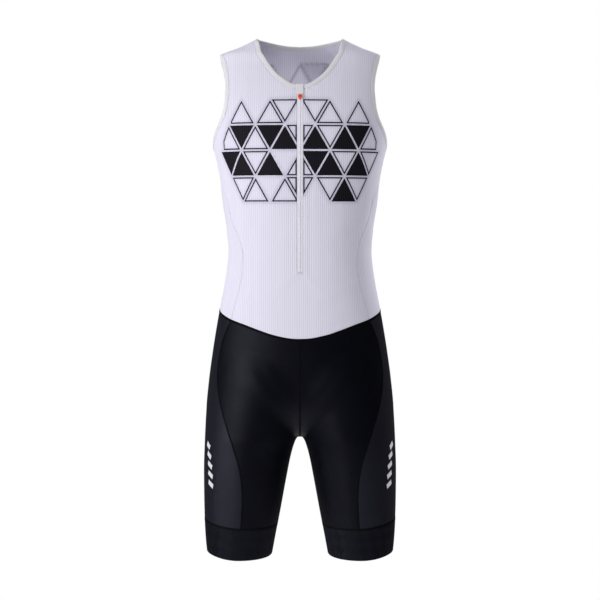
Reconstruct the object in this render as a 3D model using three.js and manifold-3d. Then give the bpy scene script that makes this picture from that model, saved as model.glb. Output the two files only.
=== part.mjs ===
// A sleeveless one-piece triathlon suit, filled out as it is when worn, with nobody in it.
// Millimetres, +Z up. The suit faces -Y, the wearer's left is +X.
// The origin lies midway between the two shoulders, where the wearer holds the suit up.
//
// The cloth follows one form surface. Horizontal sections of the form come from short tables of
// sizes; the two legs and the seat are smoothly joined. A place on one half of the cloth is
// (s, z): z is the height, and s runs round the section from centre front (0) to centre back (1).
// Below the crotch s runs once round the leg, from the inseam by the front and outside and back.
import * as THREE from "three";
import Module from "manifold-3d";

const wasm = await Module();
wasm.setup();

// ---------------------------------------------------------------- sizes
const CLOTH = 1.5; // wall of the body panels
const SEAM_GAP = 0.3; // between neighbouring pieces
const BINDING_WIDTH = 9;
const BINDING_OUT = 0.5; // how far the elastic binding stands proud of the panels
const BINDING_IN = 2.0;
const BAND_OUT = 0.3; // the leg gripper is a little thicker than the leg
const BAND_IN = 1.7;
const SHOULDER_TIP_Z = -15.2;
const NECK_POINT_Z = 15.8; // where the shoulder seam meets the neck
const ARMHOLE_BOTTOM_Z = -176;
const ZIP_HALF = 4.7; // half width of the slit that the zip fills
const TAPE = 1.0; // zip tape wall
const CHAIN_HALF = 1.7;
const CHAIN_LOW = 0.3; // chain above the tape
const CHAIN_HIGH = 1.5;
const SLIDER_Z = -93.2; // height of the slider's loop
const LEG_START_Z = -540; // above this the section is one oval
const SEAT_START_Z = -600; // the seat begins to round under here
const SEAT_END_Z = -697;
const BLEND = 22; // radius that joins legs and seat

// Horizontal sections of the body: half width, depth in front of and behind the widest point,
// y of the widest point, and how square the oval is (2 is an ellipse).
const BODY = [
  { z: 26, half: 54, front: 42, back: 52, mid: 5, square: 2.0 },
  { z: 15.8, half: 75, front: 44, back: 57, mid: 5, square: 2.0 },
  { z: 0, half: 108.5, front: 47, back: 67, mid: 5, square: 2.0 },
  { z: -15.2, half: 144, front: 52, back: 77, mid: 4, square: 2.02 },
  { z: -30, half: 149.5, front: 58, back: 85, mid: 4, square: 2.06 },
  { z: -45, half: 152.4, front: 66, back: 91, mid: 3, square: 2.12 },
  { z: -75, half: 155.4, front: 83, back: 100, mid: 2, square: 2.26 },
  { z: -110, half: 157.4, front: 99, back: 107, mid: 1, square: 2.42 },
  { z: -150, half: 158, front: 111, back: 112, mid: 0, square: 2.5 },
  { z: -175, half: 155.4, front: 115.5, back: 113, mid: 0, square: 2.5 },
  { z: -203, half: 149, front: 117.5, back: 111.5, mid: 0, square: 2.5 },
  { z: -240, half: 141.9, front: 117, back: 108, mid: 0, square: 2.46 },
  { z: -275, half: 138.2, front: 114, back: 103, mid: 0, square: 2.42 },
  { z: -320, half: 131.6, front: 109, back: 96, mid: 0, square: 2.36 },
  { z: -365, half: 128.4, front: 104.5, back: 91, mid: 0, square: 2.32 },
  { z: -391, half: 130.6, front: 103, back: 90.5, mid: 0, square: 2.3 },
  { z: -419, half: 134.8, front: 102.5, back: 92.5, mid: 0, square: 2.28 },
  { z: -448, half: 140.4, front: 102.5, back: 97, mid: 0, square: 2.28 },
  { z: -477, half: 146, front: 102.5, back: 103, mid: 1, square: 2.28 },
  { z: -535, half: 155.8, front: 101.5, back: 116, mid: 2, square: 2.3 },
  { z: -592, half: 163.8, front: 98.5, back: 124, mid: 3, square: 2.3 },
  { z: -650, half: 169.4, front: 96, back: 124, mid: 3, square: 2.3 },
  { z: -707, half: 172.1, front: 95, back: 122, mid: 3, square: 2.3 },
  { z: -760, half: 173.6, front: 95, back: 120, mid: 3, square: 2.3 },
  { z: -815, half: 173.1, front: 95, back: 120, mid: 3, square: 2.3 },
  { z: -851, half: 172, front: 95, back: 120, mid: 3, square: 2.3 },
  { z: -885, half: 170, front: 95, back: 120, mid: 3, square: 2.3 },
  { z: -918, half: 166.5, front: 95, back: 120, mid: 3, square: 2.3 },
];
// Sections of one leg: distance of its inner side from the middle plane, half depth, y of its centre.
const LEG = [
  { z: -530, inner: -34, depth: 104, mid: 9 },
  { z: -600, inner: -24, depth: 108, mid: 11 },
  { z: -650, inner: -13, depth: 106, mid: 10 },
  { z: -679, inner: -3.5, depth: 102, mid: 7.5 },
  { z: -698.5, inner: 5.5, depth: 98.5, mid: 5 },
  { z: -705.5, inner: 8.6, depth: 97, mid: 4.5 },
  { z: -712.5, inner: 11.2, depth: 95.5, mid: 4 },
  { z: -720, inner: 13.6, depth: 94, mid: 3.5 },
  { z: -734.5, inner: 17.4, depth: 91.5, mid: 2.5 },
  { z: -778, inner: 26, depth: 86, mid: 1 },
  { z: -821, inner: 33.9, depth: 80.5, mid: 0 },
  { z: -850, inner: 39.4, depth: 76.5, mid: -1 },
  { z: -880, inner: 45.2, depth: 73.5, mid: -1 },
  { z: -918, inner: 52.2, depth: 71, mid: -1 },
];
const LEG_SQUARE = 2.12;
// Seams are given by x (distance from the middle plane), on the front unless said, or by s.
// The waist seam, where the white top meets the black shorts.
const WAIST = [
  { s: 0, z: -514.8 },
  { x: 12, z: -514.3 },
  { x: 42.4, z: -509 },
  { x: 73, z: -499.4 },
  { x: 98.1, z: -490.5 },
  { x: 122, z: -482.5 },
  { x: 136.8, z: -475 },
  { s: 0.5, z: -466 },
  { s: 0.62, z: -457 },
  { s: 0.8, z: -450.5 },
  { s: 1, z: -449 },
];
// Seam of front and side panel on the top.
const TOP_SEAM = [
  { z: -486, x: 122 },
  { z: -472, x: 118.8 },
  { z: -451, x: 113 },
  { z: -425, x: 105.6 },
  { z: -400, x: 101 },
  { z: -373.5, x: 99.3 },
  { z: -354, x: 102.6 },
  { z: -332, x: 110 },
  { z: -308, x: 119.9 },
  { z: -271, x: 128.9 },
  { z: -240, s: 0.448 },
  { z: -210, s: 0.452 },
  { z: -176, s: 0.446 },
];
// Seam of side and back panel on the top.
const TOP_BACK_SEAM = [
  { z: -460, s: 0.655 },
  { z: -418, s: 0.67 },
  { z: -388, s: 0.672 },
  { z: -332, s: 0.65 },
  { z: -265, s: 0.605 },
  { z: -210, s: 0.575 },
  { z: -160, s: 0.56 },
];
// Seam of front and side panel on the shorts.
const SHORTS_SEAM = [
  { z: -486, x: 122 },
  { z: -504, x: 130.6 },
  { z: -528, x: 138.7 },
  { z: -551, x: 143.6 },
  { z: -576, x: 146.4 },
  { z: -596, x: 146.1 },
  { z: -613, x: 144.5 },
  { z: -631, x: 140.7 },
  { z: -643, x: 137.8 },
  { z: -678, x: 127 },
  { z: -714, x: 115.3 },
  { z: -742, x: 106.9 },
  { z: -777, x: 102.1 },
  { z: -809, x: 101.5 },
  { z: -855, x: 104.1 },
];
// Seam of side and back panel on the shorts.
const SHORTS_BACK_SEAM = [
  { z: -455, s: 0.655 },
  { z: -520, s: 0.64 },
  { z: -600, s: 0.63 },
  { z: -660, s: 0.64 },
  { z: -720, s: 0.67 },
  { z: -780, s: 0.69 },
  { z: -860, s: 0.7 },
];
// Neck edge, front and back.
const NECK_FRONT = [
  { x: 0, z: -71.4 },
  { x: 11.5, z: -70.6 },
  { x: 19.5, z: -66.9 },
  { x: 27.7, z: -61.4 },
  { x: 41.5, z: -49.7 },
  { x: 53, z: -35 },
  { x: 59.4, z: -25.5 },
  { x: 65, z: -16 },
  { x: 70.8, z: 0 },
  { x: 74.2, z: 9.5 },
];
const NECK_BACK = [
  { x: 68, z: 15.3 },
  { x: 54, z: 13.4 },
  { x: 38, z: 10.8 },
  { x: 20, z: 8.6 },
  { x: 0, z: 7.8 },
];
// Armhole edge: share is how far down it is from the shoulder tip to the bottom; front and back
// are how wide it is drawn in front of and behind the side line.
const ARMHOLE = [
  { share: 0, front: 36, back: 48 },
  { share: 0.18, front: 41.5, back: 53 },
  { share: 0.33, front: 49, back: 56 },
  { share: 0.47, front: 56, back: 60 },
  { share: 0.62, front: 64, back: 61.5 },
  { share: 0.75, front: 68, back: 61.5 },
  { share: 0.89, front: 66.5, back: 60 },
  { share: 1, front: 62, back: 58 },
];
// Top edge and hem of the leg gripper band, once round the leg from the inseam.
const BAND = [
  { s: 0, top: -857, hem: -909.5 },
  { s: 0.25, top: -855.5, hem: -911 },
  { s: 0.42, top: -848, hem: -905 },
  { s: 0.52, top: -847, hem: -904 },
  { s: 0.75, top: -852, hem: -908 },
  { s: 1, top: -857, hem: -909.5 },
];
// Heights of the facet rows. Above the belly level the top's rows bend into the waist seam, the
// shorts' rows bend into the waist seam above the hip level and into the band below the thigh level.
const BELLY_LEVEL = -398;
const CHEST_LEVEL = -240;
const BELLY_ROWS = 3;
const CHEST_ROWS = 4;
const HIP_LEVEL = -580;
const THIGH_LEVEL = -800;
const HIP_ROWS = 2;
const THIGH_ROWS = 2;
const SEAT_STEPS = [90, 60, 36, 19, 9, 3.5, 0.9, 0, -3, -8, -16, -30, -52, -76];
const ARM_ROWS = 10; // of the front panel along the armhole
const SEAM_ROWS = 2; // from the chest level up the side seams
const NECK_ROWS = 7; // of the front panel along the neck
const BACK_ARM_ROWS = 9;
const BACK_NECK_ROWS = 4;
const FRONT_COLS = 7;
const SIDE_COLS = 5;

// ---------------------------------------------------------------- small mathematics
// A smooth monotone curve through the rows of a table, as a function of one column.
function curve(rows, by, col) {
  const t = [...rows].sort((a, b) => a[by] - b[by]);
  const x = t.map((r) => r[by]),
    y = t.map((r) => r[col]),
    n = x.length;
  const d = x.slice(1).map((v, i) => (y[i + 1] - y[i]) / (v - x[i]));
  const m = x.map((_, i) => {
    if (i === 0) return d[0];
    if (i === n - 1) return d[n - 2];
    if (d[i - 1] * d[i] <= 0) return 0;
    const a = 2 * (x[i + 1] - x[i]) + (x[i] - x[i - 1]),
      b = x[i + 1] - x[i] + 2 * (x[i] - x[i - 1]);
    return (a + b) / (a / d[i - 1] + b / d[i]);
  });
  return (v) => {
    if (v <= x[0]) return y[0] + m[0] * (v - x[0]);
    if (v >= x[n - 1]) return y[n - 1] + m[n - 1] * (v - x[n - 1]);
    let i = 0;
    while (v > x[i + 1]) i++;
    const h = x[i + 1] - x[i],
      q = (v - x[i]) / h,
      p = 1 - q;
    return (
      y[i] * (1 + 2 * q) * p * p +
      m[i] * h * q * p * p +
      y[i + 1] * q * q * (3 - 2 * q) -
      m[i + 1] * h * q * q * p
    );
  };
}
const smin = (a, b, k) => {
  const h = Math.max(k - Math.abs(a - b), 0) / k;
  return Math.min(a, b) - (h * h * k) / 4;
};
const body = Object.fromEntries(
  ["half", "front", "back", "mid", "square"].map((c) => [c, curve(BODY, "z", c)]),
);
const leg = Object.fromEntries(
  ["inner", "depth", "mid"].map((c) => [c, curve(LEG, "z", c)]),
);

// ---------------------------------------------------------------- the form
// Distance-like value of the form: below 0 inside. narrow is how much x is stretched to keep
// the stated half width where the blend would change it.
function oval(x, y, half, front, back, mid, n) {
  const d = y < mid ? front : back;
  const r = (half + d) / 2;
  return (
    r *
    (Math.pow(
      Math.pow(Math.abs(x) / half, n) + Math.pow(Math.abs(y - mid) / d, n),
      1 / n,
    ) -
      1)
  );
}
function rawForm(x, y, z) {
  const half = body.half(z);
  let shrink = 1;
  if (z < SEAT_START_Z) {
    const q = (SEAT_START_Z - z) / (SEAT_START_Z - SEAT_END_Z);
    shrink = q < 1 ? Math.sqrt(1 - q * q) : 0;
  }
  let f = 1e3;
  if (shrink > 0.02) {
    const wide = z < SEAT_START_Z ? shrink * shrink * 0.35 + shrink * 0.65 : 1;
    f = oval(x, y, half * wide, body.front(z) * shrink, body.back(z) * shrink, body.mid(z), body.square(z));
  }
  if (z < LEG_START_Z) {
    const inner = leg.inner(z),
      a = (half - inner) / 2,
      c = (half + inner) / 2,
      b = leg.depth(z);
    const one = oval(x - c, y, a, b, b, leg.mid(z), LEG_SQUARE);
    const two = oval(x + c, y, a, b, b, leg.mid(z), LEG_SQUARE);
    const start = Math.min(1, (LEG_START_Z - z) / 60);
    const k = 4 + (BLEND - 4) * start;
    const legs = smin(one, two, BLEND);
    // the legs come in gently under the hips
    f = smin(f, legs + 6 * (1 - start), k);
  }
  return f;
}
const stretchAt = new Map();
function stretch(z) {
  if (z >= LEG_START_Z) return 1;
  const key = Math.round(z * 50);
  if (!stretchAt.has(key)) {
    // the widest point of this section
    const zz = key / 50;
    let wide = 0;
    for (let y = -60; y <= 70; y += 5) {
      let lo = zz < SEAT_START_Z ? (body.half(zz) + leg.inner(zz)) / 2 : 40,
        hi = 230;
      if (rawForm(lo, y, zz) > 0) continue;
      for (let i = 0; i < 30; i++) {
        const m = (lo + hi) / 2;
        if (rawForm(m, y, zz) < 0) lo = m;
        else hi = m;
      }
      wide = Math.max(wide, lo);
    }
    stretchAt.set(key, body.half(zz) / wide);
  }
  return stretchAt.get(key);
}
// Only the outside of the section is stretched: the middle plane and the inseam stay.
function form(x, y, z) {
  const k = stretch(z);
  const share = Math.min(1, Math.max(0, (Math.abs(x) - 60) / 60));
  return rawForm(x / (1 + (k - 1) * share), y, z);
}
function normalAt(p) {
  const e = 0.4;
  const g = new THREE.Vector3(
    form(p.x + e, p.y, p.z) - form(p.x - e, p.y, p.z),
    form(p.x, p.y + e, p.z) - form(p.x, p.y - e, p.z),
    form(p.x, p.y, p.z + e) - form(p.x, p.y, p.z - e),
  );
  if (Math.abs(p.x) < 1e-6) g.x = 0;
  return g.normalize();
}

// Height of the crotch: the lowest section that still crosses the middle plane.
function middleLowest(z) {
  let best = 1e9,
    at = 0;
  for (let y = -60; y <= 60; y += 1) {
    const f = form(0, y, z);
    if (f < best) [best, at] = [f, y];
  }
  return [best, at];
}
let CROTCH_Z, CROTCH_Y;
{
  let lo = -730,
    hi = -660;
  for (let i = 0; i < 40; i++) {
    const m = (lo + hi) / 2;
    if (middleLowest(m)[0] < 0) hi = m;
    else lo = m;
  }
  CROTCH_Z = (lo + hi) / 2;
  CROTCH_Y = middleLowest(CROTCH_Z)[1];
}

// One half section at height z, as points with their share of the way round.
const RAYS = 220;
const ringAt = new Map();
function ring(z) {
  const key = Math.round(z * 1000);
  if (ringAt.has(key)) return ringAt.get(key);
  const t = Math.min(1, Math.max(0, (LEG_START_Z - z) / (LEG_START_Z - CROTCH_Z)));
  const ease = t * t * (3 - 2 * t);
  const legX = (body.half(Math.min(z, CROTCH_Z)) + leg.inner(Math.min(z, CROTCH_Z))) / 2;
  const cx = legX * ease;
  const cy = body.mid(z) * (1 - ease) + leg.mid(Math.min(z, -600)) * ease;
  let start = -Math.PI / 2,
    end = (3 * Math.PI) / 2;
  const closed = z < CROTCH_Z - 1e-6;
  if (!closed && Math.abs(z - CROTCH_Z) > 1e-6) {
    const cross = (side) => {
      const y0 = z < -640 ? middleLowest(z)[1] : cy;
      let a = y0,
        b = side * 160;
      for (let i = 0; i < 40; i++) {
        const m = (a + b) / 2;
        if (form(0, m, z) < 0) a = m;
        else b = m;
      }
      return (a + b) / 2;
    };
    const angle = (y) => Math.atan2(0 - cx, -(y - cy));
    start = angle(cross(-1));
    end = angle(cross(1));
    if (end < 0) end += 2 * Math.PI;
    if (cx < 1e-9) [start, end] = [0, Math.PI];
  }
  const pts = [];
  for (let i = 0; i <= RAYS; i++) {
    const a = start + ((end - start) * i) / RAYS;
    const dx = Math.sin(a),
      dy = -Math.cos(a);
    let lo = 0,
      hi = 240;
    // a ray that would leave by the middle plane stops there
    if (dx < -1e-9) hi = Math.min(hi, (cx / -dx) * (1 + 1e-9));
    for (let k = 0; k < 34; k++) {
      const m = (lo + hi) / 2;
      if (form(cx + m * dx, cy + m * dy, z) < 0) lo = m;
      else hi = m;
    }
    pts.push([cx + lo * dx, cy + lo * dy]);
  }
  if (!closed) {
    pts[0][0] = 0;
    pts[RAYS][0] = 0;
    if (Math.abs(z - CROTCH_Z) <= 1e-6) pts[0] = pts[RAYS] = [0, CROTCH_Y];
  }
  const along = [0];
  for (let i = 1; i <= RAYS; i++)
    along.push(along[i - 1] + Math.hypot(pts[i][0] - pts[i - 1][0], pts[i][1] - pts[i - 1][1]));
  const made = { pts, along, length: along[RAYS], cx, cy, start, end };
  ringAt.set(key, made);
  return made;
}
function at(s, z) {
  const r = ring(z),
    want = Math.min(1, Math.max(0, s)) * r.length;
  let lo = 0,
    hi = RAYS;
  while (hi - lo > 1) {
    const m = (lo + hi) >> 1;
    if (r.along[m] <= want) lo = m;
    else hi = m;
  }
  const q = (want - r.along[lo]) / Math.max(1e-12, r.along[hi] - r.along[lo]);
  return new THREE.Vector3(
    r.pts[lo][0] + (r.pts[hi][0] - r.pts[lo][0]) * q,
    r.pts[lo][1] + (r.pts[hi][1] - r.pts[lo][1]) * q,
    z,
  );
}
// Where round the section a stated x or y lies. x rises from the front to the widest point.
function widest(z) {
  const r = ring(z);
  let best = 0;
  for (let i = 1; i <= RAYS; i++) if (r.pts[i][0] > r.pts[best][0]) best = i;
  return r.along[best] / r.length;
}
function solve(test, lo, hi) {
  for (let i = 0; i < 44; i++) {
    const m = (lo + hi) / 2;
    if (test(m) < 0) lo = m;
    else hi = m;
  }
  return (lo + hi) / 2;
}
const sOfFrontX = (x, z) => solve((s) => at(s, z).x - x, z < CROTCH_Z ? 0.02 : 0, widest(z));
const sOfBackX = (x, z) => solve((s) => x - at(s, z).x, widest(z), 1);
const sOfY = (y, z) => solve((s) => at(s, z).y - y, 0.03, 0.97);
// Direction of a place seen from the middle of its section, and the way back
function angleOf(s, z) {
  const r = ring(z),
    p = at(s, z);
  const a = Math.atan2(p.x - r.cx, -(p.y - r.cy));
  return a < r.start - 1e-3 ? a + 2 * Math.PI : a;
}
function sOfAngle(a, z) {
  const r = ring(z);
  const f = Math.min(RAYS - 1e-9, Math.max(0, ((a - r.start) / (r.end - r.start)) * RAYS)),
    i = Math.floor(f);
  return (r.along[i] + (r.along[i + 1] - r.along[i]) * (f - i)) / r.length;
}

// ---------------------------------------------------------------- seams in (s, z)
const sOfRow = (r) => ("s" in r ? r.s : r.x === 0 ? 0 : sOfFrontX(r.x, r.z));
// An upright seam: s by z, smooth in direction
function seam(rows) {
  const angle = curve(
    rows.map((r) => ({ z: r.z, angle: angleOf(sOfRow(r), r.z) })),
    "z",
    "angle",
  );
  return (z) => sOfAngle(angle(z), z);
}
const topFrontSeam = seam(TOP_SEAM);
const topBackSeam = seam(TOP_BACK_SEAM);
const shortsFrontSeam = seam(SHORTS_SEAM);
const shortsBackSeam = seam(SHORTS_BACK_SEAM);
const waistZ = curve(
  WAIST.map((r) => ({ s: sOfRow(r), z: r.z })),
  "s",
  "z",
);
const NECK_POINT_S = widest(NECK_POINT_Z);
const neckZ = curve(
  [
    ...NECK_FRONT.map((r) => ({ s: sOfRow(r), z: r.z })),
    { s: NECK_POINT_S, z: NECK_POINT_Z },
    ...NECK_BACK.map((r) => ({ s: r.x === 0 ? 1 : sOfBackX(r.x, r.z), z: r.z })),
  ],
  "s",
  "z",
);
const bandTop = curve(BAND, "s", "top");
const bandHem = curve(BAND, "s", "hem");
const armFront = curve(ARMHOLE, "share", "front");
const armBack = curve(ARMHOLE, "share", "back");
// Edge of the armhole: turn 0 is the shoulder tip, a half turn is the bottom, by way of the front.
function armhole(turn) {
  const share = (1 - Math.cos(turn)) / 2;
  const z = SHOULDER_TIP_Z + (ARMHOLE_BOTTOM_Z - SHOULDER_TIP_Z) * share;
  const wide = Math.sin(turn) >= 0 ? armFront(share) : armBack(share);
  return { s: sOfY(body.mid(z) - wide * Math.sin(turn), z), z };
}
const point = (q) => at(q.s, q.z);
// The place w millimetres over the cloth from q, to the left of the direction it is passed in
function beside(q, before, after, w) {
  const p = point(q);
  const along = point(after).sub(point(before));
  const across = normalAt(p).cross(along).normalize();
  let step = w,
    found;
  for (let i = 0; i < 4; i++) {
    const to = p.clone().addScaledVector(across, step);
    const r = ring(to.z);
    let a = Math.atan2(to.x - r.cx, -(to.y - r.cy));
    if (a < r.start - 1e-3) a += 2 * Math.PI;
    found = { s: sOfAngle(a, to.z), z: to.z };
    step *= Math.abs(w) / point(found).distanceTo(p);
  }
  return found;
}
const D = 0.02;
const armholeInside = (turn) => beside(armhole(turn), armhole(turn - D), armhole(turn + D), -BINDING_WIDTH);
const neckAt = (s) => ({ s, z: neckZ(s) });
const neckInside = (s) => beside(neckAt(s), neckAt(s - 1e-3), neckAt(s + 1e-3), -BINDING_WIDTH);
const steps = (n) => Array.from({ length: n + 1 }, (_, i) => i / n);
const mix = (a, b, t) => a + (b - a) * t;

// Where the side seams run into the armhole binding
const FRONT_TURN = solve((t) => armholeInside(t).s - topFrontSeam(armholeInside(t).z), 2.3, 3.4);
const BACK_TURN = solve((t) => armholeInside(t).s - topBackSeam(armholeInside(t).z), 3.2, 4.4);
const FRONT_CORNER = armholeInside(FRONT_TURN);
const BACK_CORNER = armholeInside(BACK_TURN);

// ---------------------------------------------------------------- facets
// Facets of one piece: places with a side (1 or -1), and four-cornered facets, each passed
// round to the left seen from outside on side 1.
class Facets {
  constructor() {
    this.places = [];
    this.quads = [];
  }
  // rows[j][i] are places; cols run to the wearer's back, rows run up. Returns the numbers.
  grid(rows, side = 1, ring = false) {
    const ids = rows.map((row) => row.map((q) => this.add(q, side)));
    this.quadsOf(ids, side, ring);
    return ids;
  }
  add(q, side) {
    const p = point(q);
    if (Math.abs(p.x) < 1e-6) p.x = 0;
    p.x *= side;
    const n = normalAt(new THREE.Vector3(Math.abs(p.x), p.y, p.z));
    n.x *= side;
    this.places.push({ p, n });
    return this.places.length - 1;
  }
  quadsOf(ids, side = 1, ring = false) {
    for (let j = 0; j + 1 < ids.length; j++) {
      const n = ids[j].length;
      for (let i = 0; i < (ring ? n : n - 1); i++) {
        const k = (i + 1) % n;
        const q = [ids[j][i], ids[j][k], ids[j + 1][k], ids[j + 1][i]];
        this.quads.push(side > 0 ? q : q.reverse());
      }
    }
  }
  // A wall from `low` to `high` millimetres outside the form, its edges drawn in by half a gap
  solid(low, high, gap = SEAM_GAP) {
    const joined = new Map(),
      id = this.places.map((v, i) => {
        const key = v.p.toArray().map((c) => Math.round(c * 1e4)).join();
        if (!joined.has(key)) joined.set(key, i);
        return joined.get(key);
      });
    const quads = this.quads.map((q) => q.map((i) => id[i]));
    const edges = new Map();
    for (const q of quads) q.forEach((a, i) => edges.set(a + "," + q[(i + 1) % 4], 1));
    const after = new Map(),
      before = new Map();
    for (const key of edges.keys()) {
      const [a, b] = key.split(",").map(Number);
      if (a !== b && !edges.has(b + "," + a)) {
        after.set(a, b);
        before.set(b, a);
      }
    }
    const where = this.places.map((v) => v.p.clone());
    for (const [a, b] of after) {
      const { p, n } = this.places[a];
      const one = n.clone().cross(p.clone().sub(this.places[before.get(a)].p)).normalize();
      const two = n.clone().cross(this.places[b].p.clone().sub(p)).normalize();
      const share = gap / 2 / Math.max(0.35, 1 + one.dot(two));
      where[a] = p.clone().add(one.add(two).multiplyScalar(share));
    }
    const xyz = [],
      index = [],
      n = this.places.length;
    for (const d of [high, low])
      this.places.forEach((v, i) => xyz.push(...where[i].clone().addScaledVector(v.n, d).toArray()));
    const tri = (a, b, c) => a !== b && b !== c && a !== c && index.push(a, b, c);
    for (const [a, b, c, d] of quads) {
      // the shorter way across
      const ac = where[a].distanceTo(where[c]) <= where[b].distanceTo(where[d]);
      const two = ac
        ? [[a, b, c], [a, c, d]]
        : [[a, b, d], [b, c, d]];
      for (const [u, v, w] of two) {
        tri(u, v, w);
        tri(n + w, n + v, n + u);
      }
    }
    for (const [a, b] of after) {
      tri(b, a, n + a);
      tri(b, n + a, n + b);
    }
    const geometry = new THREE.BufferGeometry();
    geometry.setAttribute("position", new THREE.Float32BufferAttribute(xyz, 3));
    geometry.setIndex(index);
    return geometry;
  }
}
// Rows between two edges, each edge a list of places; bottom and top are the first and last rows.
function patch(left, right, bottom, top) {
  const rows = left.length - 1,
    cols = bottom.length - 1;
  return left.map((_, j) =>
    bottom.map((_, i) => {
      if (j === 0) return bottom[i];
      if (j === rows) return top[i];
      const u = i / cols,
        v = j / rows;
      const c = (k) =>
        mix(left[j][k], right[j][k], u) +
        mix(bottom[i][k], top[i][k], v) -
        mix(mix(bottom[0][k], bottom[cols][k], u), mix(top[0][k], top[cols][k], u), v);
      return { s: c("s"), z: c("z") };
    }),
  );
}

// ---------------------------------------------------------------- the panels
// Heights of the rows, at a share of the way round
const topRow = (j) => (s) =>
  j < BELLY_ROWS
    ? mix(waistZ(s), BELLY_LEVEL, j / BELLY_ROWS)
    : mix(BELLY_LEVEL, CHEST_LEVEL, (j - BELLY_ROWS) / CHEST_ROWS);
const shortsLevels = [
  ...steps(HIP_ROWS).slice(0, -1).map((t) => (s) => mix(waistZ(s), HIP_LEVEL, t)),
  () => HIP_LEVEL,
  ...SEAT_STEPS.map((d) => () => CROTCH_Z + d),
  ...steps(THIGH_ROWS).map((t) => (s) => mix(THIGH_LEVEL, bandTop(s), t)),
];
// Where an upright seam crosses a row
function cross(upright, level) {
  let z = level(0.4);
  for (let i = 0; i < 60; i++) z = mix(z, level(upright(z)), 0.7);
  return { s: upright(z), z };
}
const WAIST_FRONT = cross(shortsFrontSeam, waistZ);
const WAIST_BACK = cross(shortsBackSeam, waistZ);
const onRow = (level, s) => ({ s, z: level(s) });
const between = (level, a, b, n) => steps(n).map((t) => onRow(level, mix(a, b, t)));

// Places of the upright edges of the top, from the waist to the chest level
const lowerRows = Array.from({ length: BELLY_ROWS + CHEST_ROWS + 1 }, (_, j) => topRow(j));
const frontSeamLow = lowerRows.map((l, j) => (j === 0 ? WAIST_FRONT : cross(topFrontSeam, l)));
const backSeamLow = lowerRows.map((l, j) => (j === 0 ? WAIST_BACK : cross(topBackSeam, l)));
const zipS = (z, x = ZIP_HALF) => sOfFrontX(x, z);
const zipLow = lowerRows.map((l) => {
  let z = l(0.01);
  return { s: zipS(z), z };
});
// and from the chest level to the armhole binding
const seamUp = (upright, corner) =>
  steps(SEAM_ROWS).slice(1).map((t) => {
    if (t === 1) return corner;
    const z = mix(CHEST_LEVEL, corner.z, t);
    return { s: upright(z), z };
  });
const frontSeamUp = seamUp(topFrontSeam, FRONT_CORNER);
const backSeamUp = seamUp(topBackSeam, BACK_CORNER);
// Turns of the armhole places, from the front corner by the front to the tip and down the back
const frontTurns = steps(ARM_ROWS).map((t) => mix(FRONT_TURN, 0, t));
const backTurns = steps(BACK_ARM_ROWS).map((t) => mix(BACK_TURN, 2 * Math.PI, t));
const underTurns = steps(SIDE_COLS).map((t) => mix(FRONT_TURN, BACK_TURN, t));
const tipInside = armholeInside(0);
// Shares of the neck places, from the zip to the shoulder and to centre back
const neckStart = solve((s) => point(neckAt(s)).x - ZIP_HALF, 0, 0.1);
const neckFrontS = steps(NECK_ROWS).map((t) => mix(neckStart, NECK_POINT_S, Math.pow(t, 1.15)));
const neckBackS = steps(BACK_NECK_ROWS).map((t) => mix(NECK_POINT_S, 1, t));
const insideAt = (s) =>
  s > 1 - 1e-6
    ? { s: 1, z: neckInside(1 - 2e-3).z }
    : s < neckStart + 1e-6
      ? (() => {
          const z = neckInside(neckStart).z;
          return { s: zipS(z), z };
        })()
      : neckInside(s);
const neckPointInside = (() => {
  const q = neckInside(NECK_POINT_S);
  return { s: widest(q.z), z: q.z };
})();
const neckFrontInside = neckFrontS.map((s, i) => (i === NECK_ROWS ? neckPointInside : insideAt(s)));
const neckBackInside = neckBackS.map((s, i) => (i === 0 ? neckPointInside : insideAt(s)));
const tip = { s: widest(tipInside.z), z: tipInside.z };
const shoulderSeam = steps(FRONT_COLS).map((t) => {
  const z = mix(neckPointInside.z, tip.z, t);
  return { s: widest(z), z };
});

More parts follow.
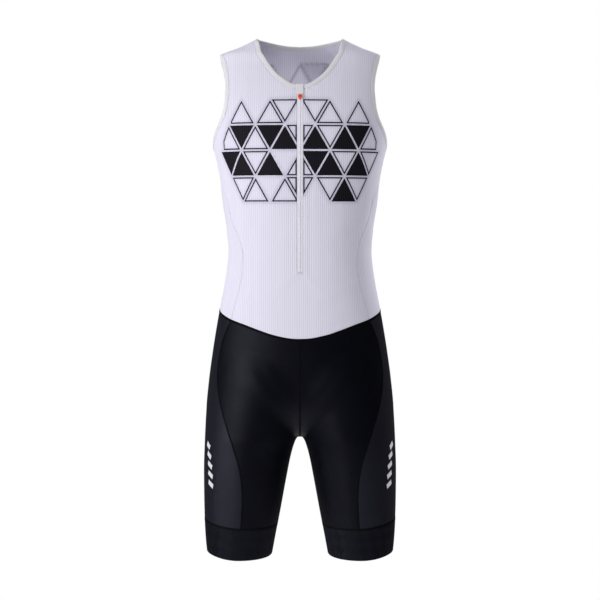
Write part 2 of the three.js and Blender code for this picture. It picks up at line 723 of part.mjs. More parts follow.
const front = new Facets(),
  back = new Facets();
{
  const rows = lowerRows.map((l, j) => {
    const a = zipLow[j].s,
      b = frontSeamLow[j].s;
    return steps(FRONT_COLS).map((t) =>
      t === 0 ? zipLow[j] : t === 1 ? frontSeamLow[j] : onRow(l, mix(a, b, t)),
    );
  });
  const zipTop = neckFrontInside[0];
  const zipUp = steps(ARM_ROWS + SEAM_ROWS - NECK_ROWS).slice(1, -1).map((t) => {
    const z = mix(CHEST_LEVEL, zipTop.z, Math.pow(t, 1.3));
    return { s: zipS(z), z };
  });
  const left = [rows.at(-1)[0], ...zipUp, ...neckFrontInside];
  const right = [
    rows.at(-1).at(-1),
    ...frontSeamUp,
    ...frontTurns.slice(1).map((t, i) => (i === ARM_ROWS - 1 ? tip : armholeInside(t))),
  ];
  const upper = patch(left, right, rows.at(-1), shoulderSeam);
  const all = [...rows, ...upper.slice(1)];
  const R = front.grid(all, 1),
    L = front.grid(all, -1);
  // the strip that joins the halves below the zip
  const strip = [];
  for (let j = 0; j <= BELLY_ROWS; j++) strip.push([L[j][0], R[j][0]]);
  front.quadsOf(strip, 1);
}
{
  const rows = lowerRows.map((l, j) =>
    steps(FRONT_COLS).map((t) =>
      t === 0 ? backSeamLow[j] : onRow(l, mix(backSeamLow[j].s, 1, t)),
    ),
  );
  const up = BACK_ARM_ROWS + SEAM_ROWS - BACK_NECK_ROWS;
  const middle = steps(up).slice(1, -1).map((t) => ({
    s: 1,
    z: mix(CHEST_LEVEL, neckBackInside.at(-1).z, t),
  }));
  const right = [rows.at(-1).at(-1), ...middle, ...[...neckBackInside].reverse()];
  const left = [
    rows.at(-1)[0],
    ...backSeamUp,
    ...backTurns.slice(1).map((t, i) => (i === BACK_ARM_ROWS - 1 ? tip : armholeInside(t))),
  ];
  const upper = patch(left, right, rows.at(-1), [...shoulderSeam].reverse());
  const all = [...rows, ...upper.slice(1)];
  back.grid(all, 1);
  back.grid(all, -1);
}
function sidePanel(side) {
  const f = new Facets();
  const rows = lowerRows.map((l, j) =>
    steps(SIDE_COLS).map((t) =>
      t === 0
        ? frontSeamLow[j]
        : t === 1
          ? backSeamLow[j]
          : onRow(l, mix(frontSeamLow[j].s, backSeamLow[j].s, t)),
    ),
  );
  const upper = patch(
    [rows.at(-1)[0], ...frontSeamUp],
    [rows.at(-1).at(-1), ...backSeamUp],
    rows.at(-1),
    underTurns.map((t, i) =>
      i === 0 ? FRONT_CORNER : i === SIDE_COLS ? BACK_CORNER : armholeInside(t),
    ),
  );
  f.grid([...rows, ...upper.slice(1)], side);
  return f;
}
// The bindings: strips from the edge to the line where the panels end
function armholeBinding(side) {
  const f = new Facets();
  const turns = [...underTurns, ...backTurns.slice(1), ...[...frontTurns].reverse().slice(1, -1)];
  const inside = turns.map((t, i) =>
    Math.abs(t) < 1e-9 || Math.abs(t - 2 * Math.PI) < 1e-9 ? tip : armholeInside(t),
  );
  inside[0] = FRONT_CORNER;
  inside[SIDE_COLS] = BACK_CORNER;
  f.grid([inside, turns.map(armhole)], side, true);
  return f;
}
const neckBinding = new Facets();
{
  const inside = [...neckFrontInside, ...neckBackInside.slice(1)];
  const edge = [...neckFrontS, ...neckBackS.slice(1)].map((s, i) =>
    i === 0 ? { s: zipS(neckZ(s)), z: neckZ(s) } : i === NECK_ROWS ? { s: NECK_POINT_S, z: NECK_POINT_Z } : neckAt(s),
  );
  neckBinding.grid([inside, edge], 1);
  neckBinding.grid([inside, edge], -1);
}

// Columns of a shorts panel pair: at the waist they follow the top's, lower down they are even
const topFrontS = [0, ...steps(FRONT_COLS).map((t) => mix(zipLow[0].s, WAIST_FRONT.s, t))];
const shortsSeamFront = shortsLevels.map((l, j) => (j === 0 ? WAIST_FRONT : cross(shortsFrontSeam, l)));
const shortsSeamBack = shortsLevels.map((l, j) => (j === 0 ? WAIST_BACK : cross(shortsBackSeam, l)));
function shortsPanel(which, side) {
  const f = new Facets();
  f.grid(
    shortsLevels.map((l, j) => {
      const a = which === "back" ? shortsSeamBack[j] : which === "side" ? shortsSeamFront[j] : { s: 0, z: l(0) };
      const b = which === "front" ? shortsSeamFront[j] : which === "side" ? shortsSeamBack[j] : { s: 1, z: l(1) };
      const n = which === "side" ? SIDE_COLS : which === "back" ? FRONT_COLS : FRONT_COLS + 1;
      return steps(n).map((t, i) => {
        if (i === 0) return a;
        if (i === n) return b;
        const even = mix(a.s, b.s, t);
        return onRow(l, which === "front" ? mix(topFrontS[i], even, Math.min(1, j / 3)) : even);
      });
    }).reverse(),
    side,
  );
  return f;
}
function legBand(side) {
  const f = new Facets();
  const a = shortsSeamFront.at(-1).s,
    b = shortsSeamBack.at(-1).s;
  const s = [
    ...steps(FRONT_COLS + 1).map((t) => mix(0, a, t)),
    ...steps(SIDE_COLS).slice(1).map((t) => mix(a, b, t)),
    ...steps(FRONT_COLS).slice(1, -1).map((t) => mix(b, 1, t)),
  ];
  f.grid(
    steps(2).reverse().map((t) => s.map((v) => ({ s: v, z: mix(bandTop(v), bandHem(v), t) }))),
    side,
    true,
  );
  return f;
}
// A strip up the zip between two distances from the middle plane
const zipTopZ = (x) => neckZ(solve((s) => point(neckAt(s)).x - x, 0, 0.1));
function zipStrip(x0, x1) {
  const f = new Facets();
  const xs = [x0, x1];
  const zs = lowerRows.slice(BELLY_ROWS).map((l) => l(0));
  const up = ARM_ROWS + SEAM_ROWS - NECK_ROWS;
  for (const t of steps(up).slice(1)) zs.push(mix(CHEST_LEVEL, neckFrontInside[0].z, Math.pow(t, 1.3)));
  const rows = zs.map((z) => xs.map((x) => ({ x, z })));
  rows.push(xs.map((x) => ({ x, z: zipTopZ(Math.abs(x)) })));
  const ids = rows.map((row) =>
    row.map(({ x, z }) => f.add({ s: x === 0 ? 0 : zipS(z, Math.abs(x)), z }, x < 0 ? -1 : 1)),
  );
  f.quadsOf(ids, 1);
  return f;
}

// ---------------------------------------------------------------- zip slider and its pull
const { Manifold, CrossSection } = wasm;
const frontAt = (z) => at(0, z).y;
const slope = Math.atan2(frontAt(SLIDER_Z + 4) - frontAt(SLIDER_Z - 4), 8); // chest leans back going up
// Drawn flat with y towards the wearer, then laid on the chest
const lay = (m) => m.rotate([(-slope * 180) / Math.PI, 0, 0]).translate([0, frontAt(SLIDER_Z), SLIDER_Z]);
const box = (x0, x1, y0, y1, z0, z1) =>
  Manifold.cube([x1 - x0, y1 - y0, z1 - z0]).translate([x0, y0, z0]);
const plate = (outline, y0, y1) =>
  new CrossSection([outline], "Positive")
    .extrude(y1 - y0)
    .rotate([90, 0, 0])
    .translate([0, y1, 0]);
const sliderOutline = [
  [-3.6, 0.2], [-3.2, 1.6], [-1.8, 2.4], [1.8, 2.4], [3.2, 1.6], [3.6, 0.2],
  [2.6, -3.2], [2.1, -4.8], [-2.1, -4.8], [-2.6, -3.2],
].reverse();
const BAR_Y = -4.07; // the pull turns about its bar, in front of the slider's plate
const slider = lay(
  Manifold.union([
    plate(sliderOutline, -3, -1.85),
    box(-0.9, 0.9, -5.9, -2.5, -1.95, -1.1),
    box(-0.9, 0.9, -5.9, -2.5, 1.1, 1.95),
    box(-0.9, 0.9, -5.9, -5.2, -1.95, 1.95),
  ]),
);
// The pull is a rounded triangle with a window that goes over the slider's loop
const PULL_CORNERS = [
  { x: 2.5, z: -0.35, r: 1 },
  { x: -2.5, z: -0.35, r: 1 },
  { x: -2.7, z: -2.4, r: 1 },
  { x: -0.6, z: -7.1, r: 1 },
  { x: 0.6, z: -7.1, r: 1 },
  { x: 2.7, z: -2.4, r: 1 },
];
const pullPoints = PULL_CORNERS.flatMap(({ x, z, r }) =>
  steps(12).map((t) => [x + r * Math.cos(2 * Math.PI * t), z + r * Math.sin(2 * Math.PI * t)]),
);
const pull = lay(
  CrossSection.hull(pullPoints)
    .extrude(1.1)
    .rotate([90, 0, 0])
    .translate([0, 0.55, 0])
    .subtract(box(-1.35, 1.35, -1, 1, -2.95, -0.65))
    .translate([0, BAR_Y, 0]),
);
// The garage: a small folded cap over the top of the zip
const garage = new Facets();
{
  const xs = [-6.4, -3.2, 0, 3.2, 6.4];
  const tops = (x) => zipTopZ(Math.max(0.01, Math.abs(x))) - 0.5;
  const ids = steps(3).map((t) =>
    xs.map((x) => {
      const z = mix(SLIDER_Z + 3 + (Math.abs(x) > 5 ? 1.4 : 0), tops(x), t);
      return garage.add({ s: x === 0 ? 0 : zipS(z, Math.abs(x)), z }, x < 0 ? -1 : 1);
    }),
  );
  garage.quadsOf(ids, 1);
}
function fromManifold(m) {
  const mesh = m.getMesh();
  const xyz = [];
  for (let i = 0; i < mesh.numVert; i++)
    xyz.push(
      mesh.vertProperties[i * mesh.numProp],
      mesh.vertProperties[i * mesh.numProp + 1],
      mesh.vertProperties[i * mesh.numProp + 2],
    );
  const g = new THREE.BufferGeometry();
  g.setAttribute("position", new THREE.Float32BufferAttribute(xyz, 3));
  g.setIndex([...mesh.triVerts]);
  return g;
}

// ---------------------------------------------------------------- the suit
const cloth = (color) => new THREE.MeshStandardMaterial({ color, roughness: 0.85, metalness: 0 });
const WHITE = cloth(0xdcdce6),
  WHITE_SIDE = cloth(0xd2d2de),
  EDGE = cloth(0xe2e1e4),
  BLACK = cloth(0x17171b),
  BLACK_SIDE = cloth(0x202026),
  GRIPPER = cloth(0x2a2a33),
  TAPE_WHITE = cloth(0xe8e8f0),
  CHAIN_WHITE = new THREE.MeshStandardMaterial({ color: 0xeeeef4, roughness: 0.5, metalness: 0 }),
  SLIDER = new THREE.MeshStandardMaterial({ color: 0xe8502c, roughness: 0.4, metalness: 0 }),
  ORANGE = new THREE.MeshStandardMaterial({ color: 0xf0532d, roughness: 0.5, metalness: 0 });

const suit = new THREE.Group();
function piece(name, geometry, material) {
  const mesh = new THREE.Mesh(geometry, material);
  mesh.name = name;
  suit.add(mesh);
}
piece("front", front.solid(-CLOTH, 0), WHITE);
piece("back", back.solid(-CLOTH, 0), WHITE);
for (const [tag, side] of [["L", 1], ["R", -1]]) {
  piece("side_" + tag, sidePanel(side).solid(-CLOTH, 0), WHITE_SIDE);
  piece("armhole_binding_" + tag, armholeBinding(side).solid(-BINDING_IN, BINDING_OUT), EDGE);
  piece("zip_tape_" + tag, (side > 0 ? zipStrip(CHAIN_HALF, ZIP_HALF) : zipStrip(-ZIP_HALF, -CHAIN_HALF)).solid(-0.3 - TAPE, -0.3), TAPE_WHITE);
  piece("shorts_front_" + tag, shortsPanel("front", side).solid(-CLOTH, 0), BLACK);
  piece("shorts_side_" + tag, shortsPanel("side", side).solid(-CLOTH, 0), BLACK_SIDE);
  piece("shorts_back_" + tag, shortsPanel("back", side).solid(-CLOTH, 0), BLACK);
  piece("leg_band_" + tag, legBand(side).solid(-BAND_IN, BAND_OUT), GRIPPER);
}
piece("neck_binding", neckBinding.solid(-BINDING_IN, BINDING_OUT), EDGE);
piece("zip_chain", zipStrip(-CHAIN_HALF, CHAIN_HALF).solid(-1.2, 0.2), CHAIN_WHITE);
piece("zip_garage", garage.solid(0.9, 2.1, 0), WHITE);
piece("zip_slider", fromManifold(slider), SLIDER);
piece("zip_pull", fromManifold(pull), ORANGE);

export default suit;
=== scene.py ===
# The looks of the sleeveless one-piece suit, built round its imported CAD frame.
# Shapes are worked out in millimetres from the same short tables as the part, and go to Blender in metres.
import math

import bpy
import numpy as np
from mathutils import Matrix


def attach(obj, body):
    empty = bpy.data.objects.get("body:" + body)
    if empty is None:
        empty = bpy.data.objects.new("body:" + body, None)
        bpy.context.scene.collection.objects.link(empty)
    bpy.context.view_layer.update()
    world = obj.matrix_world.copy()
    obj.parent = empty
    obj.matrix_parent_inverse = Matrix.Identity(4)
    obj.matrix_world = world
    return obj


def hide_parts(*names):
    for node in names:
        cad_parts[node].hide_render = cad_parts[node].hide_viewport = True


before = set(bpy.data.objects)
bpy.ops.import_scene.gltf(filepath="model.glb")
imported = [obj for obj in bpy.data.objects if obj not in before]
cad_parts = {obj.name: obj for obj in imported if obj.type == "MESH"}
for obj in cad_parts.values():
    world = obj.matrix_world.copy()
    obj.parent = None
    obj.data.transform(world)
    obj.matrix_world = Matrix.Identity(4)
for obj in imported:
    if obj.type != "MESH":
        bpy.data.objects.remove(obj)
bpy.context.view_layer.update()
MM = 0.001

# ---------------------------------------------------------------- camera
camera = bpy.data.objects.new("camera", bpy.data.cameras.new("camera"))
bpy.context.scene.collection.objects.link(camera)
camera.data.sensor_width = 36.0
camera.data.lens = 100.14
camera.data.clip_start, camera.data.clip_end = 0.05, 100.0
camera.location = (0.0, -3.0, -0.300)
camera.rotation_euler = (math.pi / 2 - math.atan2(0.1516, 3.0), 0.0, 0.0)
bpy.context.scene.camera = camera

# ---------------------------------------------------------------- sizes and tables of the part
SHOULDER_TIP_Z, NECK_POINT_Z, ARMHOLE_BOTTOM_Z = -15.2, 15.8, -176.0
BINDING_WIDTH, ZIP_HALF, CHAIN_HALF, SLIDER_Z = 9.0, 4.7, 1.7, -93.2
LEG_START_Z, SEAT_START_Z, SEAT_END_Z, BLEND, LEG_SQUARE = -540.0, -600.0, -697.0, 22.0, 2.12
BELLY_LEVEL, CHEST_LEVEL, HIP_LEVEL, THIGH_LEVEL = -398.0, -240.0, -580.0, -800.0
GAP = 0.3
# z, half width, front, back, mid, square
BODY = [
    (26, 54, 42, 52, 5, 2.0), (15.8, 75, 44, 57, 5, 2.0), (0, 108.5, 47, 67, 5, 2.0), (-15.2, 144, 52, 77, 4, 2.02),
    (-30, 149.5, 58, 85, 4, 2.06), (-45, 152.4, 66, 91, 3, 2.12), (-75, 155.4, 83, 100, 2, 2.26), (-110, 157.4, 99, 107, 1, 2.42),
    (-150, 158, 111, 112, 0, 2.5), (-175, 155.4, 115.5, 113, 0, 2.5), (-203, 149, 117.5, 111.5, 0, 2.5),
    (-240, 141.9, 117, 108, 0, 2.46), (-275, 138.2, 114, 103, 0, 2.42), (-320, 131.6, 109, 96, 0, 2.36),
    (-365, 128.4, 104.5, 91, 0, 2.32), (-391, 130.6, 103, 90.5, 0, 2.3), (-419, 134.8, 102.5, 92.5, 0, 2.28),
    (-448, 140.4, 102.5, 97, 0, 2.28), (-477, 146, 102.5, 103, 1, 2.28), (-535, 155.8, 101.5, 116, 2, 2.3),
    (-592, 163.8, 98.5, 124, 3, 2.3), (-650, 169.4, 96, 124, 3, 2.3), (-707, 172.1, 95, 122, 3, 2.3),
    (-760, 173.6, 95, 120, 3, 2.3), (-815, 173.1, 95, 120, 3, 2.3), (-851, 172, 95, 120, 3, 2.3),
    (-885, 170, 95, 120, 3, 2.3), (-918, 166.5, 95, 120, 3, 2.3),
]
# z, inner, depth, mid
LEG = [
    (-530, -34, 104, 9), (-600, -24, 108, 11), (-650, -13, 106, 10), (-679, -3.5, 102, 7.5), (-698.5, 5.5, 98.5, 5),
    (-705.5, 8.6, 97, 4.5), (-712.5, 11.2, 95.5, 4), (-720, 13.6, 94, 3.5), (-734.5, 17.4, 91.5, 2.5), (-778, 26, 86, 1),
    (-821, 33.9, 80.5, 0), (-850, 39.4, 76.5, -1), (-880, 45.2, 73.5, -1), (-918, 52.2, 71, -1),
]
# kind of place ("x" on the front, "b" x on the back, "s" share of the way round), its value, z
WAIST = [("s", 0, -514.8), ("x", 12, -514.3), ("x", 42.4, -509), ("x", 73, -499.4), ("x", 98.1, -490.5), ("x", 122, -482.5),
         ("x", 136.8, -475), ("s", 0.5, -466), ("s", 0.62, -457), ("s", 0.8, -450.5), ("s", 1, -449)]
TOP_SEAM = [("x", 122, -486), ("x", 118.8, -472), ("x", 113, -451), ("x", 105.6, -425), ("x", 101, -400), ("x", 99.3, -373.5),
            ("x", 102.6, -354), ("x", 110, -332), ("x", 119.9, -308), ("x", 128.9, -271), ("s", 0.448, -240),
            ("s", 0.452, -210), ("s", 0.446, -176)]
TOP_BACK_SEAM = [("s", 0.655, -460), ("s", 0.67, -418), ("s", 0.672, -388), ("s", 0.65, -332), ("s", 0.605, -265),
                 ("s", 0.575, -210), ("s", 0.56, -160)]
SHORTS_SEAM = [("x", 122, -486), ("x", 130.6, -504), ("x", 138.7, -528), ("x", 143.6, -551), ("x", 146.4, -576),
               ("x", 146.1, -596), ("x", 144.5, -613), ("x", 140.7, -631), ("x", 137.8, -643), ("x", 127, -678),
               ("x", 115.3, -714), ("x", 106.9, -742), ("x", 102.1, -777), ("x", 101.5, -809), ("x", 104.1, -855)]
SHORTS_BACK_SEAM = [("s", 0.655, -455), ("s", 0.64, -520), ("s", 0.63, -600), ("s", 0.64, -660), ("s", 0.67, -720),
                    ("s", 0.69, -780), ("s", 0.7, -860)]
NECK_FRONT = [("s", 0, -71.4), ("x", 11.5, -70.6), ("x", 19.5, -66.9), ("x", 27.7, -61.4), ("x", 41.5, -49.7), ("x", 53, -35),
              ("x", 59.4, -25.5), ("x", 65, -16), ("x", 70.8, 0), ("x", 74.2, 9.5)]
NECK_BACK = [("b", 68, 15.3), ("b", 54, 13.4), ("b", 38, 10.8), ("b", 20, 8.6), ("s", 1, 7.8)]
# share of the way down, front, back
ARMHOLE = [(0, 36, 48), (0.18, 41.5, 53), (0.33, 49, 56), (0.47, 56, 60), (0.62, 64, 61.5), (0.75, 68, 61.5), (0.89, 66.5, 60), (1, 62, 58)]
# s, top, hem
BAND = [(0, -857, -909.5), (0.25, -855.5, -911), (0.42, -848, -905), (0.52, -847, -904), (0.75, -852, -908), (1, -857, -909.5)]


# ---------------------------------------------------------------- small mathematics
class Curve:
    """A smooth monotone curve through a table's rows."""

    def __init__(self, xs, ys):
        order = np.argsort(xs)
        x, y = np.asarray(xs, float)[order], np.asarray(ys, float)[order]
        d = np.diff(y) / np.diff(x)
        m = np.empty(len(x))
        m[0], m[-1] = d[0], d[-1]
        for i in range(1, len(x) - 1):
            if d[i - 1] * d[i] <= 0:
                m[i] = 0.0
            else:
                a = 2 * (x[i + 1] - x[i]) + (x[i] - x[i - 1])
                b = x[i + 1] - x[i] + 2 * (x[i] - x[i - 1])
                m[i] = (a + b) / (a / d[i - 1] + b / d[i])
        self.x, self.y, self.m = x, y, m

    def __call__(self, v):
        v = np.asarray(v, float)
        x, y, m = self.x, self.y, self.m
        i = np.clip(np.searchsorted(x, v, "right") - 1, 0, len(x) - 2)
        h = x[i + 1] - x[i]
        q = (v - x[i]) / h
        p = 1 - q
        inside = y[i] * (1 + 2 * q) * p * p + m[i] * h * q * p * p + y[i + 1] * q * q * (3 - 2 * q) - m[i + 1] * h * q * q * p
        low = y[0] + m[0] * (v - x[0])
        high = y[-1] + m[-1] * (v - x[-1])
        return np.where(v <= x[0], low, np.where(v >= x[-1], high, inside))


def column(rows, by, col):
    return Curve([r[by] for r in rows], [r[col] for r in rows])


def smin(a, b, k):
    h = np.maximum(k - np.abs(a - b), 0) / k
    return np.minimum(a, b) - h * h * k / 4


def ease(t):
    t = np.clip(t, 0, 1)
    return t * t * (3 - 2 * t)


def mix(a, b, t):
    return a + (b - a) * t


def unit(v):
    return v / np.maximum(np.linalg.norm(v, axis=-1, keepdims=True), 1e-12)


B_HALF, B_FRONT, B_BACK, B_MID, B_SQUARE = (column(BODY, 0, c) for c in (1, 2, 3, 4, 5))
L_INNER, L_DEPTH, L_MID = (column(LEG, 0, c) for c in (1, 2, 3))


# ---------------------------------------------------------------- the form
def oval(x, y, half, front, back, mid, n):
    d = np.where(y < mid, front, back)
    r = (half + d) / 2
    return r * (np.power(np.power(np.abs(x) / half, n) + np.power(np.abs(y - mid) / d, n), 1 / n) - 1)


STRETCH = None


class Section:
    """The form at a set of heights."""

    def __init__(self, z):
        z = np.asarray(z, float)
        self.z = z
        self.half, self.front, self.back, self.mid, self.square = B_HALF(z), B_FRONT(z), B_BACK(z), B_MID(z), B_SQUARE(z)
        q = (SEAT_START_Z - z) / (SEAT_START_Z - SEAT_END_Z)
        shrink = np.where(z < SEAT_START_Z, np.sqrt(np.clip(1 - q * q, 0, 1)), 1.0)
        self.closed = shrink <= 0.02
        shrink = np.maximum(shrink, 0.02)
        self.shrink = shrink
        self.wide = np.where(z < SEAT_START_Z, shrink * shrink * 0.35 + shrink * 0.65, 1.0)
        inner = L_INNER(z)
        self.a, self.c = (self.half - inner) / 2, (self.half + inner) / 2
        self.depth, self.lmid = L_DEPTH(z), L_MID(z)
        start = np.clip((LEG_START_Z - z) / 60, 0, 1)
        self.k, self.add = 4 + (BLEND - 4) * start, 6 * (1 - start)
        self.legs = z < LEG_START_Z
        self.any_legs = bool(np.any(self.legs))
        self.wider = np.ones_like(z) if STRETCH is None else np.where(self.legs, np.interp(z, *STRETCH), 1.0)

    def raw(self, x, y):
        f = oval(x, y, self.half * self.wide, self.front * self.shrink, self.back * self.shrink, self.mid, self.square)
        f = np.where(self.closed, 1e3, f)
        if not self.any_legs:
            return f
        one = oval(x - self.c, y, self.a, self.depth, self.depth, self.lmid, LEG_SQUARE)
        two = oval(x + self.c, y, self.a, self.depth, self.depth, self.lmid, LEG_SQUARE)
        return np.where(self.legs, smin(f, smin(one, two, BLEND) + self.add, self.k), f)

    def form(self, x, y):
        share = np.clip((np.abs(x) - 60) / 60, 0, 1)
        return self.raw(x / (1 + (self.wider - 1) * share), y)


def make_stretch():
    z = np.arange(-932.0, -539.9, 1.0)
    y = np.arange(-60.0, 71.0, 5.0)
    zz, yy = (g.ravel() for g in np.meshgrid(z, y, indexing="ij"))
    sec = Section(zz)
    lo = np.where(zz < SEAT_START_Z, (B_HALF(zz) + L_INNER(zz)) / 2, 40.0)
    hi = np.full_like(lo, 230.0)
    out = sec.raw(lo, yy) > 0
    for _ in range(30):
        m = (lo + hi) / 2
        inside = sec.raw(m, yy) < 0
        lo, hi = np.where(inside, m, lo), np.where(inside, hi, m)
    lo = np.where(out, 0, lo).reshape(len(z), len(y))
    return z, B_HALF(z) / lo.max(axis=1)


STRETCH = make_stretch()


def normal(p):
    """Outward direction of the form at the points, x not negative."""
    e = 0.4
    x, y, z = p[:, 0], p[:, 1], p[:, 2]
    here, up, down = Section(z), Section(z + e), Section(z - e)
    g = np.stack([here.form(x + e, y) - here.form(x - e, y), here.form(x, y + e) - here.form(x, y - e), up.form(x, y) - down.form(x, y)], 1)
    g[np.abs(x) < 1e-6, 0] = 0
    return unit(g)


def middle_lowest(z):
    z = np.atleast_1d(np.asarray(z, float))
    y = np.arange(-60.0, 61.0, 1.0)
    zz, yy = np.meshgrid(z, y, indexing="ij")
    f = Section(zz).form(np.zeros_like(zz), yy)
    i = f.argmin(axis=1)
    return f[np.arange(len(z)), i], y[i]


def find_crotch():
    lo, hi = -730.0, -660.0
    for _ in range(40):
        m = (lo + hi) / 2
        if middle_lowest(m)[0][0] < 0:
            hi = m
        else:
            lo = m
    z = (lo + hi) / 2
    return z, float(middle_lowest(z)[1][0])


CROTCH_Z, CROTCH_Y = find_crotch()


def centre(z):
    t = np.clip((LEG_START_Z - z) / (LEG_START_Z - CROTCH_Z), 0, 1)
    e = t * t * (3 - 2 * t)
    low = np.minimum(z, CROTCH_Z)
    cx = (B_HALF(low) + L_INNER(low)) / 2 * e
    cy = B_MID(z) * (1 - e) + L_MID(np.minimum(z, -600.0)) * e
    return cx, cy


def middle_y(z, side):
    """Where the form crosses the middle plane, in front (side -1) or behind (1)."""
    z = np.asarray(z, float)
    cy = centre(z)[1]
    a = np.where(z < -640, middle_lowest(z)[1], cy)
    b = np.full_like(a, side * 160.0)
    sec, zero = Section(z), np.zeros_like(z)
    for _ in range(40):
        m = (a + b) / 2
        inside = sec.form(zero, m) < 0
        a, b = np.where(inside, m, a), np.where(inside, b, m)
    return (a + b) / 2


def cast(sec, cx, cy, angle):
    dx, dy = np.sin(angle), -np.cos(angle)
    lo = np.zeros_like(angle)
    hi = np.where(dx < -1e-9, np.minimum(240.0, cx / np.maximum(-dx, 1e-9) * (1 + 1e-9)), 240.0)
    for _ in range(30):
        m = (lo + hi) / 2
        inside = sec.form(cx + m * dx, cy + m * dy) < 0
        lo, hi = np.where(inside, m, lo), np.where(inside, hi, m)
    return cx + lo * dx, cy + lo * dy


# Heights of the rows through the seat, close together at the crotch
SEAT_UP = [(j * 0.24) ** 2 for j in range(39)]  # up to 83 above the crotch
SEAT_DOWN = [-((j * 0.31) ** 2) for j in range(1, 28)]  # down to 70 below
RAYS, SHARES = 220, 800
LEVELS = np.unique(np.concatenate([
    np.arange(-933.0, -760.0, 3.0), np.arange(-760.0, CROTCH_Z - 3, 2.0), CROTCH_Z + np.array(SEAT_DOWN),
    CROTCH_Z + np.array([-0.02]), CROTCH_Z + np.array(SEAT_UP), np.arange(CROTCH_Z + 84, -540.0, 2.0), np.arange(-540.0, 27.0, 3.0),
]))


def make_rings():
    z = LEVELS
    cx, cy = centre(z)
    start, end = np.full_like(z, -math.pi / 2), np.full_like(z, 3 * math.pi / 2)
    opened = z > CROTCH_Z + 1e-6
    f, b = middle_y(z[opened], -1), middle_y(z[opened], 1)
    start[opened] = np.arctan2(-cx[opened], -(f - cy[opened]))
    e = np.arctan2(-cx[opened], -(b - cy[opened]))
    end[opened] = np.where(e < 0, e + 2 * math.pi, e)
    whole = opened & (cx < 1e-9)
    start[whole], end[whole] = 0.0, math.pi
    i = np.arange(RAYS + 1)
    angle = start[:, None] + (end - start)[:, None] * i[None, :] / RAYS
    zz = np.repeat(z[:, None], RAYS + 1, 1)
    x, y = cast(Section(zz), cx[:, None] + 0 * zz, cy[:, None] + 0 * zz, angle)
    x[z >= CROTCH_Z - 1e-6, 0] = x[z >= CROTCH_Z - 1e-6, -1] = 0
    at = np.abs(z - CROTCH_Z) <= 1e-6
    y[at, 0] = y[at, -1] = CROTCH_Y
    step = np.hypot(np.diff(x, axis=1), np.diff(y, axis=1))
    along = np.concatenate([np.zeros((len(z), 1)), np.cumsum(step, 1)], 1)
    length = along[:, -1]
    share = along / length[:, None]
    want = np.linspace(0, 1, SHARES + 1)
    by_share = np.stack([np.interp(want, share[k], angle[k]) for k in range(len(z))])
    widest = share[np.arange(len(z)), x.argmax(1)]
    return start, end, length, share, by_share, widest


R_START, R_END, R_LENGTH, R_SHARE, R_ANGLE, R_WIDEST = make_rings()


def level_of(z):
    i = np.clip(np.searchsorted(LEVELS, z + 1e-7, "right") - 1, 0, len(LEVELS) - 2)
    return i, np.clip((z - LEVELS[i]) / (LEVELS[i + 1] - LEVELS[i]), 0, 1)


def length_at(z):
    return np.interp(z, LEVELS, R_LENGTH)


def angle_of(s, z):
    i, w = level_of(z)
    f = np.clip(s, 0, 1) * SHARES
    k = np.minimum(f.astype(int), SHARES - 1)
    v = f - k
    one = mix(R_ANGLE[i, k], R_ANGLE[i, k + 1], v)
    two = mix(R_ANGLE[i + 1, k], R_ANGLE[i + 1, k + 1], v)
    return mix(one, two, w)


def share_of(angle, z):
    i, w = level_of(z)

    def at(level):
        f = np.clip((angle - R_START[level]) / (R_END[level] - R_START[level]) * RAYS, 0, RAYS - 1e-9)
        k = f.astype(int)
        return mix(R_SHARE[level, k], R_SHARE[level, k + 1], f - k)

    return mix(at(i), at(i + 1), w)


def place(s, z):
    """Points of one half of the form, at shares s of the way round the heights z."""
    s, z = np.broadcast_arrays(np.asarray(s, float), np.asarray(z, float))
    shape = s.shape
    s, z = s.ravel(), z.ravel()
    cx, cy = centre(z)
    x, y = cast(Section(z), cx, cy, angle_of(s, z))
    for value, side in ((0.0, -1), (1.0, 1)):
        edge = (np.abs(s - value) < 1e-9) & (z > CROTCH_Z + 1e-6)
        if edge.any():
            x[edge], y[edge] = 0, middle_y(z[edge], side)
        edge = (np.abs(s - value) < 1e-9) & (np.abs(z - CROTCH_Z) <= 1e-6)
        x[edge], y[edge] = 0, CROTCH_Y
    return np.stack([x, y, z], 1).reshape(*shape, 3)


def solve(test, lo, hi, n=34):
    for _ in range(n):
        m = (lo + hi) / 2
        below = test(m) < 0
        lo, hi = np.where(below, m, lo), np.where(below, hi, m)
    return (lo + hi) / 2


def front_s(x, z):
    x, z = np.broadcast_arrays(np.asarray(x, float), np.asarray(z, float))
    lo = np.where(z < CROTCH_Z, 0.02, 0.0)
    return solve(lambda s: place(s, z)[..., 0] - x, lo, np.interp(z, LEVELS, R_WIDEST))


def back_s(x, z):
    x, z = np.broadcast_arrays(np.asarray(x, float), np.asarray(z, float))
    return solve(lambda s: x - place(s, z)[..., 0], np.interp(z, LEVELS, R_WIDEST), np.ones_like(z))


def table_s(rows):
    z = np.array([r[2] for r in rows], float)
    v = np.array([r[1] for r in rows], float)
    kind = np.array([r[0] for r in rows])
    s = v.copy()
    for name, f in (("x", front_s), ("b", back_s)):
        m = kind == name
        if m.any():
            s[m] = f(v[m], z[m])
    return s, z


def seam(rows):
    s, z = table_s(rows)
    a = Curve(z, angle_of(s, z))
    return lambda zz: share_of(a(zz), np.asarray(zz, float))


top_front_seam, top_back_seam = seam(TOP_SEAM), seam(TOP_BACK_SEAM)
shorts_front_seam, shorts_back_seam = seam(SHORTS_SEAM), seam(SHORTS_BACK_SEAM)
waist_z = Curve(*table_s(WAIST))
SIDE_ANGLE = math.pi / 2


def side_s(z):
    z = np.asarray(z, float)
    return share_of(np.full_like(z, SIDE_ANGLE), z)


